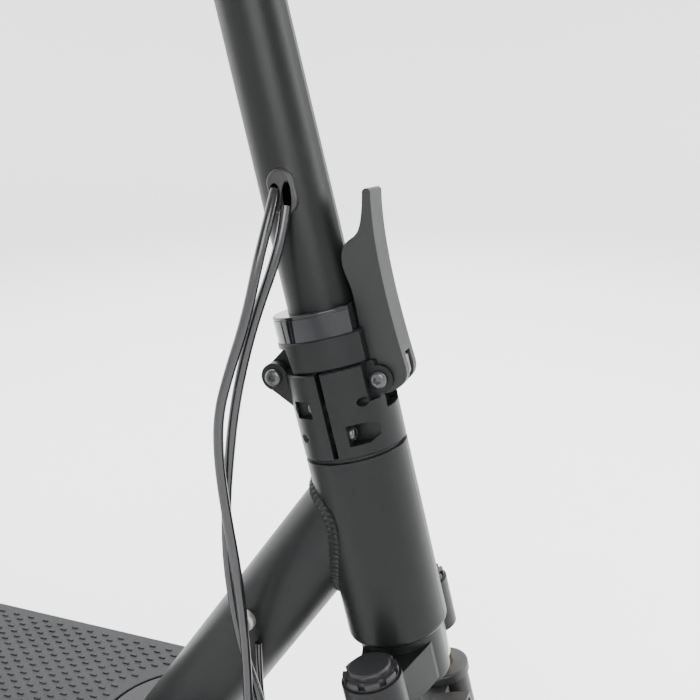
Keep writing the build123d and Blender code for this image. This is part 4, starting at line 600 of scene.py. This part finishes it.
def cable(names, line, radius, cuts, slot="cable_jacket"):
    """One sheath along a line, made as a piece for each stretch between cuts."""
    tangents = []
    for k in range(len(line)):
        tangents.append((line[min(k + 1, len(line) - 1)] - line[max(k - 1, 0)]).normalized())
    side = tangents[0].orthogonal().normalized()
    rings = []
    steps = 20
    for point, along in zip(line, tangents):
        side = (side - along * side.dot(along)).normalized()
        other = along.cross(side)
        rings.append([point + (side * cos(2 * pi * k / steps) + other * sin(2 * pi * k / steps))
                      * radius for k in range(steps)])
    marks = [0] + [min(range(len(line)), key=lambda k: (line[k] - Vector(cut)).length)
                   for cut in cuts] + [len(line) - 1]
    made = []
    for name, first, last in zip(names, marks, marks[1:]):
        points = [p for ring in rings[first:last + 1] for p in ring]
        count = last - first + 1
        faces = []
        for r in range(count - 1):
            for k in range(steps):
                n = (k + 1) % steps
                faces.append((r * steps + k, r * steps + n, (r + 1) * steps + n,
                              (r + 1) * steps + k))
        faces.append(tuple(range(steps))[::-1])
        faces.append(tuple(range((count - 1) * steps, count * steps)))
        sheath = piece(name, points, faces, slot)
        path = line[first:last + 1]
        made.append((sheath, path))
    return made


def length_of(path):
    return sum((b - a).length for a, b in zip(path, path[1:]))


def declare(sheath, path, radius, bodies, start, end):
    """A stretch of cable, with its place baked into its mesh."""
    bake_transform(sheath)
    length_of(path)
    2 * radius


CABLE_SPLIT = 0.452             # height where the stem lets go of its cables
CABLE = 0.0029
LEAD = 0.00225
brake_line = spline_points([
    (.312, -.021, .575), (.312, -.029, .562), (.309, -.037, .541), (.303, -.042, .509),
    (.293, -.045, .479), (.286, -.046, .455), (.285, -.046, .429), (.288, -.046, .399),
    (.293, -.045, .361), (.296, -.045, .329), (.298, -.046, .298), (.299, -.048, .265),
    (.295, -.052, .232), (.291, -.056, .208), (.285, -.059, .188), (.276, -.060, .175),
    (.2686, -.060, .170)])
loom_line = spline_points([
    (.3185, -.0225, .567), (.318, -.0255, .555), (.314, -.030, .536), (.305, -.034, .510),
    (.297, -.036, .482), (.291, -.037, .454), (.287, -.037, .427), (.283, -.036, .397),
    (.282, -.036, .363), (.286, -.037, .328), (.293, -.038, .297), (.303, -.040, .272),
    (.309, -.042, .245), (.306, -.045, .216), (.297, -.046, .192), (.284, -.046, .177),
    (.2695, -.046, .170)])
lead_line = spline_points([
    (.297, -.0285, .303), (.297, -.029, .284), (.299, -.031, .262), (.306, -.033, .238),
    (.321, -.040, .215), (.341, -.050, .196), (.363, -.060, .178), (.384, -.066, .161),
    (.397, -.069, .150), (.406, -.070, .1455)])
rear_line = spline_points([
    (-.299, .034, .157), (-.314, .034, .159), (-.336, .034, .1655), (-.358, .034, .1725),
    (-.377, .034, .173), (-.3918, .034, .1669)])

for name, line, node in (("brake_cable", brake_line, "brake_cable"),
                         ("wiring_loom", loom_line, "wiring_loom")):
    split = min(line, key=lambda p: abs(p.z - CABLE_SPLIT))
    upper, lower = cable((f"{name}_stem", f"{name}_neck"), line, CABLE, [split])
    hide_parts(node)
    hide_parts(node)
    declare(*upper, CABLE, ("stem", "fork"), upper[1][3], upper[1][-1])
    declare(*lower, CABLE, ("fork", "frame"), lower[1][0], lower[1][-3])
upper, lower = cable(("motor_lead_neck", "motor_lead_leg"), lead_line, LEAD, [(.341, -.050, .196)])
for stretch in (upper, lower):
    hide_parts("frame_cables")
declare(*upper, LEAD, ("frame", "fork"), upper[1][2], upper[1][-1])
declare(*lower, LEAD, ("fork", "fork_slider"), lower[1][0], lower[1][-3])
rear_brake = cable(("rear_brake_cable",), rear_line, CABLE, [])[0]
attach(rear_brake[0], "frame")
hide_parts("frame_cables")
length_of(rear_brake[1])

# ---------------------------------------------------------------- lamp lens
glass = Finish("lens_glass", Roughness=0.06, Transmission_Weight=0.0, Coat_Weight=1.0)
facets_and_painted_glints = glass.node("ShaderNodeTexVoronoi", None, {"Vector": glass.place, "Scale": 260})
# Painted reflection: the facet cells also set lighter and darker patches in the lens colour, standing in for light
# caught by the facets, while their bump gives the facets' real relief.
glass.feed("Base Color", glass.blend(facets_and_painted_glints, (0.62, 0.65, 0.68), (0.90, 0.91, 0.92)))
glass.relief(facets_and_painted_glints, 0.0006, 0.8)
lens = lathe("headlamp_lens", [(0, 0.01), (0, 16.8), (1.0, 16.9), (2.2, 14.5), (3.0, 10.0),
                               (3.4, 5.0), (3.5, 0.01)],
             spot(19.1 + 27.1, 0, 690), forward, "cast_alloy", 64)
lens.data.materials[0] = glass.material
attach(lens, "stem")

bpy.context.scene.view_layers[0].update()
